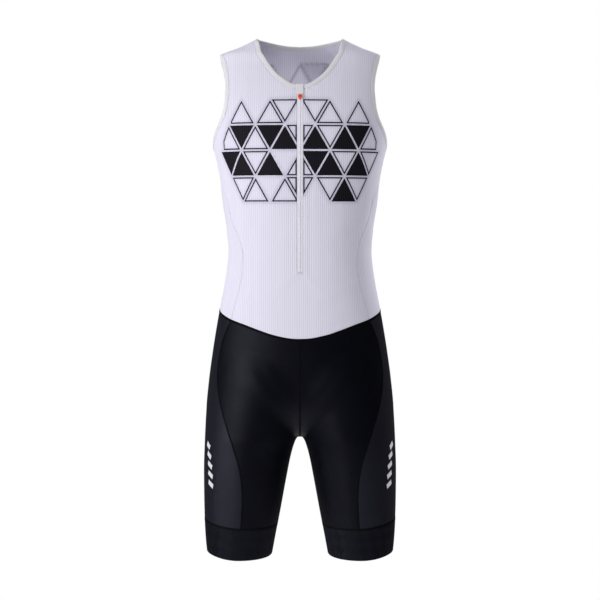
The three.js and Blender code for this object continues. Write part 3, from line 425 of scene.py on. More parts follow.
NECK_POINT_S = float(side_s(np.array([NECK_POINT_Z]))[0])
_f, _b = table_s(NECK_FRONT), table_s(NECK_BACK)
neck_z = Curve(np.concatenate([_f[0], [NECK_POINT_S], _b[0]]), np.concatenate([_f[1], [NECK_POINT_Z], _b[1]]))
band_top, band_hem = column(BAND, 0, 1), column(BAND, 0, 2)
arm_front, arm_back = column(ARMHOLE, 0, 1), column(ARMHOLE, 0, 2)


def beside(s, z, before, after, w):
    """The places w millimetres over the cloth from (s, z), to the left of the direction from before to after."""
    p = place(s, z)
    across = unit(np.cross(normal(p), place(*after) - place(*before)))
    step = np.full(len(p), float(w))
    for _ in range(4):
        to = p + across * step[:, None]
        zz = to[:, 2]
        cx, cy = centre(zz)
        a = np.arctan2(to[:, 0] - cx, -(to[:, 1] - cy))
        i, k = level_of(zz)
        first = mix(R_START[i], R_START[i + 1], k)
        a = np.where(a < first - 1e-3, a + 2 * math.pi, a)
        ss = share_of(a, zz)
        step = step * abs(w) / np.linalg.norm(place(ss, zz) - p, axis=1)
    return ss, zz


# The armhole's edge by its turn: 0 is the shoulder tip, a half turn is the bottom, by way of the front
TURN = np.linspace(0, 2 * math.pi, 1441)


def armhole_at(turn):
    share = (1 - np.cos(turn)) / 2
    z = SHOULDER_TIP_Z + (ARMHOLE_BOTTOM_Z - SHOULDER_TIP_Z) * share
    wide = np.where(np.sin(turn) >= 0, arm_front(share), arm_back(share))
    y = B_MID(z) - wide * np.sin(turn)
    return solve(lambda s: place(s, z)[..., 1] - y, np.full_like(z, 0.03), np.full_like(z, 0.97)), z


ARM_S, ARM_Z = armhole_at(TURN)
ARM_IN_S, ARM_IN_Z = beside(ARM_S, ARM_Z, armhole_at(TURN - 0.02), armhole_at(TURN + 0.02), -BINDING_WIDTH)
_tip_z = (ARM_IN_Z[0] + ARM_IN_Z[-1]) / 2
TIP = (float(side_s(np.array([_tip_z]))[0]), float(_tip_z))
for _i in (0, -1):
    ARM_IN_S[_i], ARM_IN_Z[_i] = TIP


def arm_edge(turn):
    return np.interp(turn, TURN, ARM_S), np.interp(turn, TURN, ARM_Z)


def arm_inside(turn):
    return np.interp(turn, TURN, ARM_IN_S), np.interp(turn, TURN, ARM_IN_Z)


def first_turn(seam_at, lo, hi):
    t = np.linspace(lo, hi, 1200)
    s, z = arm_inside(t)
    f = s - seam_at(z)
    k = int(np.nonzero(f[:-1] * f[1:] <= 0)[0][0])
    return float(t[k] + (t[k + 1] - t[k]) * f[k] / (f[k] - f[k + 1]))


FRONT_TURN = first_turn(top_front_seam, 2.3, 3.4)
BACK_TURN = first_turn(top_back_seam, 3.2, 4.4)
FRONT_CORNER = tuple(float(v) for v in arm_inside(FRONT_TURN))
BACK_CORNER = tuple(float(v) for v in arm_inside(BACK_TURN))

# The neck's edge by s, and the line where the panels end
NECK_START = float(solve(lambda s: place(s, neck_z(s))[..., 0] - ZIP_HALF, np.array([0.0]), np.array([0.1]))[0])
NECK_S = np.concatenate([np.linspace(NECK_START, NECK_POINT_S, 300), np.linspace(NECK_POINT_S, 1, 300)[1:]])
_inner = np.clip(NECK_S, 0.0015, 0.9985)
NECK_IN_S, NECK_IN_Z = beside(_inner, neck_z(_inner), (_inner - 1e-3, neck_z(_inner - 1e-3)), (_inner + 1e-3, neck_z(_inner + 1e-3)), -BINDING_WIDTH)
NECK_IN_S[0] = front_s(np.array([ZIP_HALF]), NECK_IN_Z[:1])[0]
NECK_IN_S[-1] = 1.0
_k = 299
NECK_IN_S[_k] = side_s(NECK_IN_Z[_k:_k + 1])[0]


def neck_inside(s):
    return np.interp(s, NECK_S, NECK_IN_S), np.interp(s, NECK_S, NECK_IN_Z)


NECK_POINT_IN = tuple(float(v) for v in neck_inside(NECK_POINT_S))
ZIP_TOP_Z = float(NECK_IN_Z[0])


# ---------------------------------------------------------------- soft relief of the worn cloth
def dent(u, z, line, width, height, fade=0.25):
    """A soft fold along a line of (u, z) points: height is at its middle."""
    best = np.full(np.shape(u), 1e9)
    along = np.zeros(np.shape(u))
    pts = np.array(line, float)
    total = np.linalg.norm(np.diff(pts, axis=0), axis=1)
    run = np.concatenate([[0], np.cumsum(total)]) / total.sum()
    for k in range(len(pts) - 1):
        a, b = pts[k], pts[k + 1]
        d = b - a
        t = np.clip(((u - a[0]) * d[0] + (z - a[1]) * d[1]) / (d @ d), 0, 1)
        q = np.hypot(u - a[0] - t * d[0], z - a[1] - t * d[1])
        near = q < best
        best = np.where(near, q, best)
        along = np.where(near, mix(run[k], run[k + 1], t), along)
    ends = ease(along / fade) * ease((1 - along) / fade)
    return height * ends * np.exp(-((best / width) ** 2))


# Folds, by signed distance round the cloth from centre front (the wearer's left is positive) and height
FRONT_FOLDS = [
    ([(-8, -75), (-17, -83), (-27, -92)], 2.6, 0.75), ([(-9, -83), (-15, -91), (-21, -102)], 2.2, 0.6),
    ([(-12, -72), (-24, -76), (-38, -80)], 3.0, 0.5),
    ([(8, -75), (16, -82), (29, -88)], 2.6, 0.75), ([(10, -83), (17, -90), (25, -101)], 2.2, 0.55),
    ([(12, -71), (25, -74), (40, -77)], 3.0, 0.5), ([(7, -96), (13, -108), (16, -124)], 2.2, 0.45),
    ([(-7, -98), (-12, -112), (-15, -128)], 2.2, 0.4),
    ([(-150, -186), (-120, -196), (-84, -214)], 11, 0.8), ([(150, -182), (118, -194), (80, -210)], 11, 0.8),
    ([(-150, -300), (-105, -318), (-48, -330)], 13, 0.7), ([(152, -292), (104, -312), (44, -326)], 13, 0.8),
    ([(-140, -372), (-92, -380), (-36, -378)], 11, 0.8), ([(140, -366), (96, -378), (38, -372)], 11, 0.9),
    ([(-132, -418), (-88, -430), (-22, -440)], 10, 0.6), ([(132, -412), (84, -426), (20, -444)], 10, 0.7),
    ([(-120, -455), (-70, -472), (-30, -488)], 9, 0.45), ([(122, -452), (74, -470), (28, -490)], 9, 0.5),
    ([(-9, -405), (-26, -420), (-52, -432)], 5, 0.5), ([(9, -405), (24, -421), (46, -436)], 5, 0.5),
    ([(-96, -560), (-58, -610), (-20, -652)], 12, 0.8), ([(96, -556), (60, -606), (21, -650)], 12, 0.8),
    ([(-70, -548), (-42, -590), (-14, -628)], 8, 0.45), ([(72, -545), (44, -588), (15, -626)], 8, 0.45),
]


def relief(u, z, y):
    """How far the cloth stands out of the form, in millimetres. u is the signed way round from centre front."""
    r = np.zeros(np.shape(u))
    near = z > CROTCH_Z + 6
    for line, width, height in FRONT_FOLDS:
        r = r + np.where(near, dent(u, z, line, width, height), 0)
    # the zip's placket lies a little proud of the panel
    flap = ease((15.5 - np.abs(u)) / 2.5) * ease((-78 - z) / 12) * ease((z + 412) / 6)
    r = r + 0.3 * flap
    # long soft waves of a knit that isn't quite tight
    r = r + 0.5 * np.sin(u / 31.0 + z / 60.0) * np.sin(z / 47.0 + 0.9) * ease((150 - np.abs(z + 300)) / 120)
    # nothing moves round the slider; the folds and waves stop short of the hems
    calm = 1 - np.exp(-((u / 9.0) ** 2) - ((z - SLIDER_Z) / 14.0) ** 2)
    return r * calm


def signed_u(s, z, side):
    return side * s * length_at(z)


# ---------------------------------------------------------------- meshes
MATERIALS = {}


def link(name, verts, faces, material, uv=None, attributes=None, smooth_angle=48):
    """verts in millimetres; faces is an array of corner numbers, -1 where a face has only three."""
    me = bpy.data.meshes.new(name)
    verts = np.asarray(verts, float) * MM
    faces = np.asarray(faces, int)
    size = np.where(faces[:, 3] < 0, 3, 4) if faces.shape[1] == 4 else np.full(len(faces), 3)
    corners = faces[faces >= 0]
    me.vertices.add(len(verts))
    me.vertices.foreach_set("co", verts.ravel())
    me.loops.add(len(corners))
    me.loops.foreach_set("vertex_index", corners)
    me.polygons.add(len(faces))
    starts = np.concatenate([[0], np.cumsum(size)[:-1]])
    me.polygons.foreach_set("loop_start", starts)
    me.polygons.foreach_set("loop_total", size)
    if uv is not None:
        layer = me.uv_layers.new(name="UVMap")
        layer.data.foreach_set("uv", np.asarray(uv, float)[corners].ravel())
    for key, value in (attributes or {}).items():
        a = me.attributes.new(key, "FLOAT", "POINT")
        a.data.foreach_set("value", np.asarray(value, float))
    me.update(calc_edges=True)
    me.validate()
    me.polygons.foreach_set("use_smooth", np.ones(len(me.polygons), bool))
    if smooth_angle:
        me.set_sharp_from_angle(angle=math.radians(smooth_angle))
    ob = bpy.data.objects.new(name, me)
    bpy.context.scene.collection.objects.link(ob)
    me.materials.append(MATERIALS[material])
    return ob


class Patchwork:
    """Grids of places on the form that make one piece."""

    def __init__(self):
        self.s, self.z, self.side, self.quads, self.count = [], [], [], [], 0

    def grid(self, s, z, side, ring=False):
        ids = self.count + np.arange(s.size).reshape(s.shape)
        self.s.append(s.ravel())
        self.z.append(z.ravel())
        self.side.append(np.full(s.size, float(side)))
        self.count += s.size
        self.join(ids, side, ring)
        return ids

    def join(self, ids, side=1, ring=False):
        if ring:
            ids = np.concatenate([ids, ids[:, :1]], 1)
        q = np.stack([ids[:-1, :-1], ids[:-1, 1:], ids[1:, 1:], ids[1:, :-1]], -1).reshape(-1, 4)
        self.quads.append(q if side > 0 else q[:, ::-1])

    def done(self):
        s, z, side = np.concatenate(self.s), np.concatenate(self.z), np.concatenate(self.side)
        quads = np.concatenate(self.quads)
        p = place(s, z)
        p[np.abs(p[:, 0]) < 1e-6, 0] = 0
        n = normal(p)
        u = signed_u(s, z, side)
        p[:, 0] *= side
        n[:, 0] *= side
        # places that two grids share become one
        key = np.round(p * 1e3).astype(np.int64)
        _, first, back = np.unique(key, axis=0, return_index=True, return_inverse=True)
        back = back.ravel()
        quads = back[quads]
        self.p, self.n, self.u, self.zz = p[first], n[first], u[first], z[first]
        used = np.unique(quads)
        again = np.full(len(first), -1)
        again[used] = np.arange(len(used))
        self.p, self.n, self.u, self.zz = self.p[used], self.n[used], self.u[used], self.zz[used]
        self.quads = again[quads]
        self.edge()
        return self

    def edge(self):
        """The border's runs, its neighbours, and each place's distance from the border."""
        q = self.quads
        a, b = q.ravel(), np.roll(q, -1, 1).ravel()
        keep = a != b
        a, b = a[keep], b[keep]
        n = len(self.p)
        forward, reverse = a * n + b, b * n + a
        border = ~np.isin(forward, reverse)
        self.ba, self.bb = a[border], b[border]
        after, before = np.full(n, -1), np.full(n, -1)
        after[self.ba], before[self.bb] = self.bb, self.ba
        self.after, self.before = after, before
        on = after >= 0
        pts = self.p[self.ba]
        mids = (self.p[self.ba] + self.p[self.bb]) / 2
        cloud = np.concatenate([pts, mids])
        far = np.empty(n)
        for i in range(0, n, 2000):
            d = np.linalg.norm(self.p[i:i + 2000, None] - cloud[None], axis=2)
            far[i:i + 2000] = d.min(1)
        far[on] = 0
        self.far = far

    def shell(self, low, high, gap=GAP, lift=None):
        """Outer and inner walls, joined round the border, which is drawn in by half a gap."""
        p, n = self.p.copy(), self.n
        on = np.nonzero((self.after >= 0) & (self.before >= 0))[0]
        if gap:
            one = unit(np.cross(n[on], p[on] - p[self.before[on]]))
            two = unit(np.cross(n[on], p[self.after[on]] - p[on]))
            share = gap / 2 / np.maximum(0.35, 1 + (one * two).sum(1))
            p[on] = self.p[on] + (one + two) * share[:, None]
        up = relief(self.u, self.zz, self.p[:, 1]) if lift is None else lift
        outer = p + n * (np.broadcast_to(high, len(p)) + up)[:, None]
        inner = p + n * (np.broadcast_to(low, len(p)) + up)[:, None]
        k = len(p)
        q = self.quads
        sides = np.stack([self.bb, self.ba, k + self.ba, k + self.bb], 1)
        faces = np.concatenate([q, q[:, ::-1] + k, sides])
        faces = tidy(faces)
        uv = np.stack([self.u, self.zz], 1) * MM
        return np.concatenate([outer, inner]), faces, np.concatenate([uv, uv])


def tidy(faces):
    """Four-cornered faces with two corners in one place become three-cornered."""
    out = faces.copy()
    for i in range(4):
        j = (i + 1) % 4
        same = (out[:, i] == out[:, j]) & (out[:, 3] >= 0)
        if same.any():
            rows = out[same]
            cut = np.delete(rows, j, axis=1)
            out[same] = np.concatenate([cut, np.full((len(cut), 1), -1)], 1)
    return out


def spaced(length, step, near=(0.5, 1.15, 2.0, 3.1)):
    """Shares along a span, evenly spaced, with closer lines beside both ends."""
    near = [d for d in near if d < length * 0.3]
    lo = (near[-1] if near else 0) / length
    n = max(2, int(round(length * (1 - 2 * lo) / step)))
    return np.unique(np.concatenate([[0], np.array(near) / length, np.linspace(lo, 1 - lo, n + 1), 1 - np.array(near) / length, [1]]))


def coons(left, right, bottom, top, us, vs):
    """Places between four edges, each edge given as (s, z) arrays along vs or us."""
    out = []
    u, v = us[None, :], vs[:, None]
    for k in range(2):
        le, ri, bo, to = (np.asarray(e[k]) for e in (left, right, bottom, top))
        g = mix(le[:, None], ri[:, None], u) + mix(bo[None, :], to[None, :], v) - mix(mix(bo[0], bo[-1], u), mix(to[0], to[-1], u), v)
        g[0], g[-1], g[:, 0], g[:, -1] = bo, to, le, ri
        out.append(g)
    return out


def cross(upright, level):
    z = level(np.full(1, 0.4)) + np.zeros(1)
    for _ in range(60):
        z = mix(z, level(upright(z)), 0.7)
    return upright(z), z


STEP = 3.3
# rows of the top from the waist to the chest level: share of the belly stretch, or a height above it
BELLY_T = spaced(100, 3.4)
BELLY_T = BELLY_T[BELLY_T < 0.955]
CHEST_Z = np.linspace(BELLY_LEVEL, CHEST_LEVEL, 43)
LOW_T = np.concatenate([BELLY_T, np.full(len(CHEST_Z), 1.0)])
LOW_Z = np.concatenate([np.full(len(BELLY_T), BELLY_LEVEL), CHEST_Z])
SLIT_ROW = len(BELLY_T)  # the row where the zip's slit ends


def low_z(s):
    """Heights of the low rows at shares s: s has one value a row, or a row of values a row."""
    t, z = LOW_T, LOW_Z
    if np.ndim(s) == 2:
        t, z = t[:, None], z[:, None]
    return mix(waist_z(s), z, t)


def cross_low(upright):
    z = low_z(np.full(len(LOW_T), 0.4))
    for _ in range(60):
        z = mix(z, low_z(upright(z)), 0.7)
    return upright(z), z


def waist_cross(upright):
    s, z = cross(upright, lambda v: waist_z(v))
    return float(s[0]), float(z[0])


WAIST_FRONT, WAIST_BACK = waist_cross(shorts_front_seam), waist_cross(shorts_back_seam)
FRONT_LOW, BACK_LOW = cross_low(top_front_seam), cross_low(top_back_seam)
for _low, _corner in ((FRONT_LOW, WAIST_FRONT), (BACK_LOW, WAIST_BACK)):
    _low[0][0], _low[1][0] = _corner
ZIP_LOW_Z = low_z(np.full(len(LOW_T), 0.01))
ZIP_LOW_S = front_s(np.full(len(LOW_T), ZIP_HALF), ZIP_LOW_Z)

# rows of the top over the chest level, counted as the part counts them
UP_V = np.unique(np.concatenate([np.linspace(0, 2, 17), np.linspace(2, 5, 25), np.linspace(5, 12, 62), [11.72, 11.84, 11.93]]))
BACK_UP_V = np.unique(np.concatenate([np.linspace(0, 2, 16), np.linspace(2, 7, 34), np.linspace(7, 11, 34), [10.72, 10.84, 10.93]]))
FRONT_T = spaced(125, STEP)
BACK_T = spaced(110, STEP)
SIDE_T = spaced(92, STEP)


def shoulder(ts):
    z = mix(NECK_POINT_IN[1], TIP[1], ts)
    return side_s(z), z


def seam_up(upright, corner, v, turns, end, last):
    """An upright seam from the chest level to its corner, then along the armhole."""
    s, z = np.empty(len(v)), np.empty(len(v))
    a = v <= 2
    z[a] = mix(CHEST_LEVEL, corner[1], v[a] / 2)
    s[a] = upright(z[a])
    t = mix(turns, end, (v[~a] - 2) / (last - 2))
    s[~a], z[~a] = arm_inside(t)
    at = np.argmin(np.abs(v - 2))
    s[at], z[at] = corner
    s[-1], z[-1] = TIP
    return s, z


def build_front():
    f = Patchwork()
    t = FRONT_T
    s = mix(ZIP_LOW_S[:, None], FRONT_LOW[0][:, None], t[None, :])
    z = low_z(s)
    z[:, 0], z[:, -1] = ZIP_LOW_Z, FRONT_LOW[1]
    v = UP_V
    zs = mix(CHEST_LEVEL, ZIP_TOP_Z, np.power(np.minimum(v, 5) / 5, 1.3))
    ls, lz = front_s(np.full(len(v), ZIP_HALF), zs), zs
    neck = v >= 5
    ns = mix(NECK_START, NECK_POINT_S, np.power((v[neck] - 5) / 7, 1.15))
    ls[neck], lz[neck] = neck_inside(ns)
    left = (ls, lz)
    right = seam_up(top_front_seam, FRONT_CORNER, v, FRONT_TURN, 0.0, 12)
    bottom = (s[-1], z[-1])
    us, uz = coons(left, right, bottom, shoulder(t), t, v / 12)
    s, z = np.concatenate([s, us[1:]]), np.concatenate([z, uz[1:]])
    r = f.grid(s, z, 1)
    l = f.grid(s, z, -1)
    # the strip between the halves, under the zip
    rows = SLIT_ROW + 1
    xs = np.array([2.35, 0.0])
    ms = np.stack([front_s(np.full(rows, x), z[:rows, 0]) if x else np.zeros(rows) for x in xs], 1)
    mz = np.repeat(z[:rows, :1], 2, 1)
    rid = f.count + np.arange(ms.size).reshape(ms.shape)
    for side in (1, -1):
        f.s.append(ms.ravel())
        f.z.append(mz.ravel())
        f.side.append(np.full(ms.size, float(side)))
        f.count += ms.size
    lid = rid + ms.size
    f.join(np.concatenate([l[:rows, :1], lid[:, :1], rid[:, 1:], rid[:, :1], r[:rows, :1]], 1), 1)
    return f.done()


def build_back():
    f = Patchwork()
    t = BACK_T
    s = mix(BACK_LOW[0][:, None], 1.0, t[None, :])
    z = low_z(s)
    z[:, 0] = BACK_LOW[1]
    v = BACK_UP_V
    ns = mix(1.0, NECK_POINT_S, np.clip((v - 7) / 4, 0, 1))
    rs, rz = neck_inside(ns)
    mid = v < 7
    rs[mid] = 1.0
    top = neck_inside(1.0)[1]
    rz[mid] = mix(CHEST_LEVEL, top, v[mid] / 7)
    left = seam_up(top_back_seam, BACK_CORNER, v, BACK_TURN, 2 * math.pi, 11)
    us, uz = coons(left, (rs, rz), (s[-1], z[-1]), shoulder(1 - t), t, v / 11)
    s, z = np.concatenate([s, us[1:]]), np.concatenate([z, uz[1:]])
    f.grid(s, z, 1)
    f.grid(s, z, -1)
    return f.done()


def build_side(side):
    f = Patchwork()
    t = SIDE_T
    s = mix(FRONT_LOW[0][:, None], BACK_LOW[0][:, None], t[None, :])
    z = low_z(s)
    z[:, 0], z[:, -1] = FRONT_LOW[1], BACK_LOW[1]
    v = np.unique(np.concatenate([np.linspace(0, 2, 20), [1.9, 1.955, 1.98]]))
    edges = []
    for upright, corner in ((top_front_seam, FRONT_CORNER), (top_back_seam, BACK_CORNER)):
        ez = mix(CHEST_LEVEL, corner[1], v / 2)
        es = upright(ez)
        es[-1], ez[-1] = corner
        edges.append((es, ez))
    under = arm_inside(mix(FRONT_TURN, BACK_TURN, t))
    for k in range(2):
        under[k][0], under[k][-1] = FRONT_CORNER[k], BACK_CORNER[k]
    us, uz = coons(edges[0], edges[1], (s[-1], z[-1]), under, t, v / 2)
    f.grid(np.concatenate([s, us[1:]]), np.concatenate([z, uz[1:]]), side)
    return f.done()


# rows of the shorts: z is mixed from the waist, the hip level, stated heights, the thigh level and the band's top
HIP_T = spaced(80, 3.4)
HIP_T = HIP_T[HIP_T < 0.96]
HIGH_Z = np.linspace(HIP_LEVEL, CROTCH_Z + SEAT_UP[-1], 12)
STATED_Z = np.concatenate([HIGH_Z, CROTCH_Z + np.array(SEAT_UP[::-1][1:]), CROTCH_Z + np.array(SEAT_DOWN), np.linspace(CROTCH_Z + SEAT_DOWN[-1], THIGH_LEVEL, 10)[1:]])
THIGH_T = spaced(52, 3.4)
THIGH_T = THIGH_T[THIGH_T > 0.05]
N_ROWS = len(HIP_T) + len(STATED_Z) + len(THIGH_T)


def shorts_z(s):
    """Heights of the shorts' rows, from the waist down."""
    col = (lambda a: a[:, None]) if np.ndim(s) == 2 else (lambda a: a)
    a, b = len(HIP_T), len(HIP_T) + len(STATED_Z)
    hip = mix(waist_z(s[:a]), HIP_LEVEL, col(HIP_T))
    stated = col(STATED_Z) + 0 * s[a:b]
    thigh = mix(THIGH_LEVEL, band_top(s[b:]), col(THIGH_T))
    return np.concatenate([hip, stated, thigh])


def cross_shorts(upright, corner):
    z = shorts_z(np.full(N_ROWS, 0.4))
    for _ in range(60):
        z = mix(z, shorts_z(upright(z)), 0.7)
    s = upright(z)
    s[0], z[0] = corner
    return s, z


SHORTS_FRONT_LINE = cross_shorts(shorts_front_seam, WAIST_FRONT)
SHORTS_BACK_LINE = cross_shorts(shorts_back_seam, WAIST_BACK)


def build_shorts(which, side):
    f = Patchwork()
    zero = (np.zeros(N_ROWS), shorts_z(np.zeros(N_ROWS)))
    one = (np.ones(N_ROWS), shorts_z(np.ones(N_ROWS)))
    a, b, span = {"front": (zero, SHORTS_FRONT_LINE, 150), "side": (SHORTS_FRONT_LINE, SHORTS_BACK_LINE, 105), "back": (SHORTS_BACK_LINE, one, 150)}[which]
    t = spaced(span, STEP)
    s = mix(a[0][:, None], b[0][:, None], t[None, :])
    z = shorts_z(s)
    z[:, 0], z[:, -1] = a[1], b[1]
    f.grid(s[::-1], z[::-1], side)
    return f.done()


def build_band(side):
    f = Patchwork()
    a, b = SHORTS_FRONT_LINE[0][-1], SHORTS_BACK_LINE[0][-1]
    s = np.concatenate([np.linspace(0, a, 44), np.linspace(a, b, 34)[1:], np.linspace(b, 1, 46)[1:-1]])
    t = spaced(54, 2.8, (0.5, 1.1, 1.8, 2.6))
    t = t[::-1]
    z = mix(band_top(s)[None, :], band_hem(s)[None, :], t[:, None])
    f.grid(np.repeat(s[None, :], len(t), 0), z, side, ring=True)
    f.share = np.repeat(t, len(s))
    return f.done()


# Profile of a binding: how far over its width from the panels, and the outer and inner heights
BINDING_PROFILE = [
    (0.0, -0.12, -1.5), (0.5, 0.08, -1.75), (1.1, 0.24, -1.9), (1.7, 0.20, -1.9), (2.4, 0.40, -1.95), (3.6, 0.52, -2.0),
    (5.4, 0.56, -2.0), (6.9, 0.5, -1.98), (7.8, 0.36, -1.9), (8.4, 0.08, -1.65), (8.8, -0.3, -1.25), (9.0, -0.72, -0.82),
]


def build_binding(inside, edge, sides, ring):
    f = Patchwork()
    w = np.array([r[0] for r in BINDING_PROFILE]) / 9.0
    s = mix(inside[0][None, :], edge[0][None, :], w[:, None])
    z = mix(inside[1][None, :], edge[1][None, :], w[:, None])
    for side in sides:
        f.grid(s, z, side, ring)
    f.w = np.tile(np.repeat(w, len(inside[0])), len(sides))
    order = f.w
    raw = np.concatenate(f.s), np.concatenate(f.z), np.concatenate(f.side)
    f.done()
    # find each kept place's share of the width again
    p = place(raw[0], raw[1])
    p[np.abs(p[:, 0]) < 1e-6, 0] = 0
    p[:, 0] *= raw[2]
    from_key = {tuple(k): v for k, v in zip(np.round(p * 1e3).astype(np.int64).tolist(), order)}
    f.w = np.array([from_key[tuple(k)] for k in np.round(f.p * 1e3).astype(np.int64).tolist()]) * 9.0
    return f


def profile(w, col):
    return np.interp(w, [r[0] for r in BINDING_PROFILE], [r[col] for r in BINDING_PROFILE])


def build_strip(x0, x1, zs, columns):
    """A strip up the zip between two signed distances from the middle plane; zs rise, the last row ends at the neck's edge."""
    f = Patchwork()
    xs = np.linspace(x0, x1, columns + 1)
    z = np.repeat(zs[:, None], columns + 1, 1)
    top = np.array([neck_z(solve(lambda s: place(s, neck_z(s))[..., 0] - max(abs(x), 0.01), np.array([0.0]), np.array([0.1])))[0] for x in xs])
    z[-1] = top
    s = np.zeros_like(z)
    for k, x in enumerate(xs):
        if abs(x) > 1e-9:
            s[:, k] = front_s(np.full(len(zs), abs(x)), z[:, k])
    ids = f.count + np.arange(s.size).reshape(s.shape)
    f.s.append(s.ravel())
    f.z.append(z.ravel())
    f.side.append(np.where(np.repeat(xs[None, :], len(zs), 0) < 0, -1.0, 1.0).ravel())
    f.count += s.size
    f.join(ids, 1)
    return f.done()


# ---------------------------------------------------------------- paths over the cloth
def surface(s, z, side, out):
    """Points and normals of the worn cloth's face, out millimetres over it."""
    s, z = np.asarray(s, float), np.asarray(z, float)
    p = place(s, z)
    p[np.abs(p[:, 0]) < 1e-6, 0] = 0
    n = normal(p)
    side = np.broadcast_to(np.asarray(side, float), s.shape)
    u = signed_u(s, z, side)
    p[:, 0] *= side
    n[:, 0] *= side
    return p + n * (relief(u, z, p[:, 1]) + out)[:, None], n


def at_u(u, z, out=0.0):
    """The same by signed distance round from centre front."""
    u, z = np.asarray(u, float), np.asarray(z, float)
    return surface(np.abs(u) / length_at(z), z, np.where(u < 0, -1.0, 1.0), out)


def even(points, normals, step):
    """The line again, with points a step apart."""
    d = np.concatenate([[0], np.cumsum(np.linalg.norm(np.diff(points, axis=0), axis=1))])
    n = max(2, int(round(d[-1] / step)))
    want = np.linspace(0, d[-1], n + 1)
    p = np.stack([np.interp(want, d, points[:, k]) for k in range(3)], 1)
    q = unit(np.stack([np.interp(want, d, normals[:, k]) for k in range(3)], 1))
    return p, q


def aside(points, normals, w):
    """The line moved over the cloth, to the left seen from outside."""
    t = np.gradient(points, axis=0)
    return points + unit(np.cross(normals, t)) * w


class Threads:
    """Many short stitches in one mesh."""

    def __init__(self):
        self.v, self.f, self.n = [], [], 0

    def row(self, points, normals, length=2.3, gap=0.8, radius=0.2, sink=0.05, slant=0.0, keep=None):
        pts, nrm = even(points, normals, (length + gap) / 2)
        t = unit(np.gradient(pts, axis=0))
        side = unit(np.cross(nrm, t))
        a, c = pts[:-2:2], pts[2::2]
        k = min(len(a), len(c))
        mid, tt, nn, ss = pts[1::2][:k], t[1::2][:k], nrm[1::2][:k], side[1::2][:k]
        if keep is not None:
            kept = keep(mid)
            mid, tt, nn, ss = mid[kept], tt[kept], nn[kept], ss[kept]
            k = len(mid)
            if not k:
                return
        d = unit(tt + ss * slant)
        e = unit(np.cross(nn, d))
        half = length / 2
        sides = 6
        ang = np.linspace(0, 2 * math.pi, sides, endpoint=False)
        rings = [(-half, 0.0), (-half * 0.8, 0.8), (-half * 0.25, 1.0), (half * 0.25, 1.0), (half * 0.8, 0.8), (half, 0.0)]
        verts = []
        base = mid + nn * (radius * 0.55 - sink)
        for x, r in rings:
            dip = -0.12 * (x / half) ** 2
            if r == 0:
                verts.append((base + d * x + nn * dip)[:, None])
            else:
                o = e[:, None] * (np.cos(ang) * radius * r)[None, :, None] + nn[:, None] * (np.sin(ang) * radius * r * 0.9)[None, :, None]
                verts.append((base + d * x + nn * dip)[:, None] + o)
        v = np.concatenate(verts, 1)
        m = v.shape[1]
        f = []
        for i in range(sides):
            j = (i + 1) % sides
            f.append([0, 1 + j, 1 + i, -1])
            for ring in range(3):
                b = 1 + ring * sides
                f.append([b + i, b + j, b + sides + j, b + sides + i])
            f.append([1 + 3 * sides + i, 1 + 3 * sides + j, m - 1, -1])
        f = np.array(f)
        all_f = f[None] + (self.n + np.arange(k) * m)[:, None, None]
        all_f = np.where(f[None] < 0, -1, all_f).reshape(-1, 4)
        self.v.append(v.reshape(-1, 3))
        self.f.append(all_f)
        self.n += k * m

    def object(self, name, material):
        v = np.concatenate(self.v)
        ob = link(name, v, np.concatenate(self.f), material, uv=v[:, [0, 2]] * MM, smooth_angle=0)
        return ob


def ridge(points, normals, width, height, sink=0.35, closed=False, steps_across=6, step=1.6):
    """A soft raised strip along a line: a closed solid, its underside inside the cloth."""
    p, n = even(points, normals, step)
    if closed:
        p, n = p[:-1], n[:-1]
        t = unit(np.roll(p, -1, 0) - np.roll(p, 1, 0))
    else:
        t = unit(np.gradient(p, axis=0))
    side = unit(np.cross(n, t))
    a = np.linspace(0, math.pi, steps_across + 1)
    across, up = -np.cos(a) * width / 2, np.sin(a) ** 0.7 * height
    top = p[:, None] + side[:, None] * across[None, :, None] + n[:, None] * up[None, :, None]
    low = p[:, None] + side[:, None] * (across * 0.96)[None, ::-1, None] - n[:, None] * sink
    v = np.concatenate([top, low], 1)
    m, k = v.shape[1], len(p)
    ids = np.arange(k * m).reshape(k, m)
    nxt = np.roll(ids, -1, 0) if closed else ids[1:]
    cur = ids if closed else ids[:-1]
    quads = np.stack([cur, nxt, np.roll(nxt, -1, 1), np.roll(cur, -1, 1)], -1).reshape(-1, 4)
    if not closed:
        caps = []
        for row, flip in ((ids[0], False), (ids[-1], True)):
            h = m // 2
            for i in range(h - 1):
                q = [row[i], row[i + 1], row[m - 2 - i], row[m - 1 - i]]
                caps.append(q[::-1] if flip else q)
        quads = np.concatenate([quads, np.array(caps)])
    return v.reshape(-1, 3), quads


def merged(name, parts, material):
    """Several meshes as one object."""
    v, f, n = [], [], 0
    for a, b in parts:
        v.append(a)
        f.append(np.where(b < 0, -1, b + n))
        n += len(a)
    v = np.concatenate(v)
    return link(name, v, np.concatenate(f), material, uv=v[:, [0, 2]] * MM)


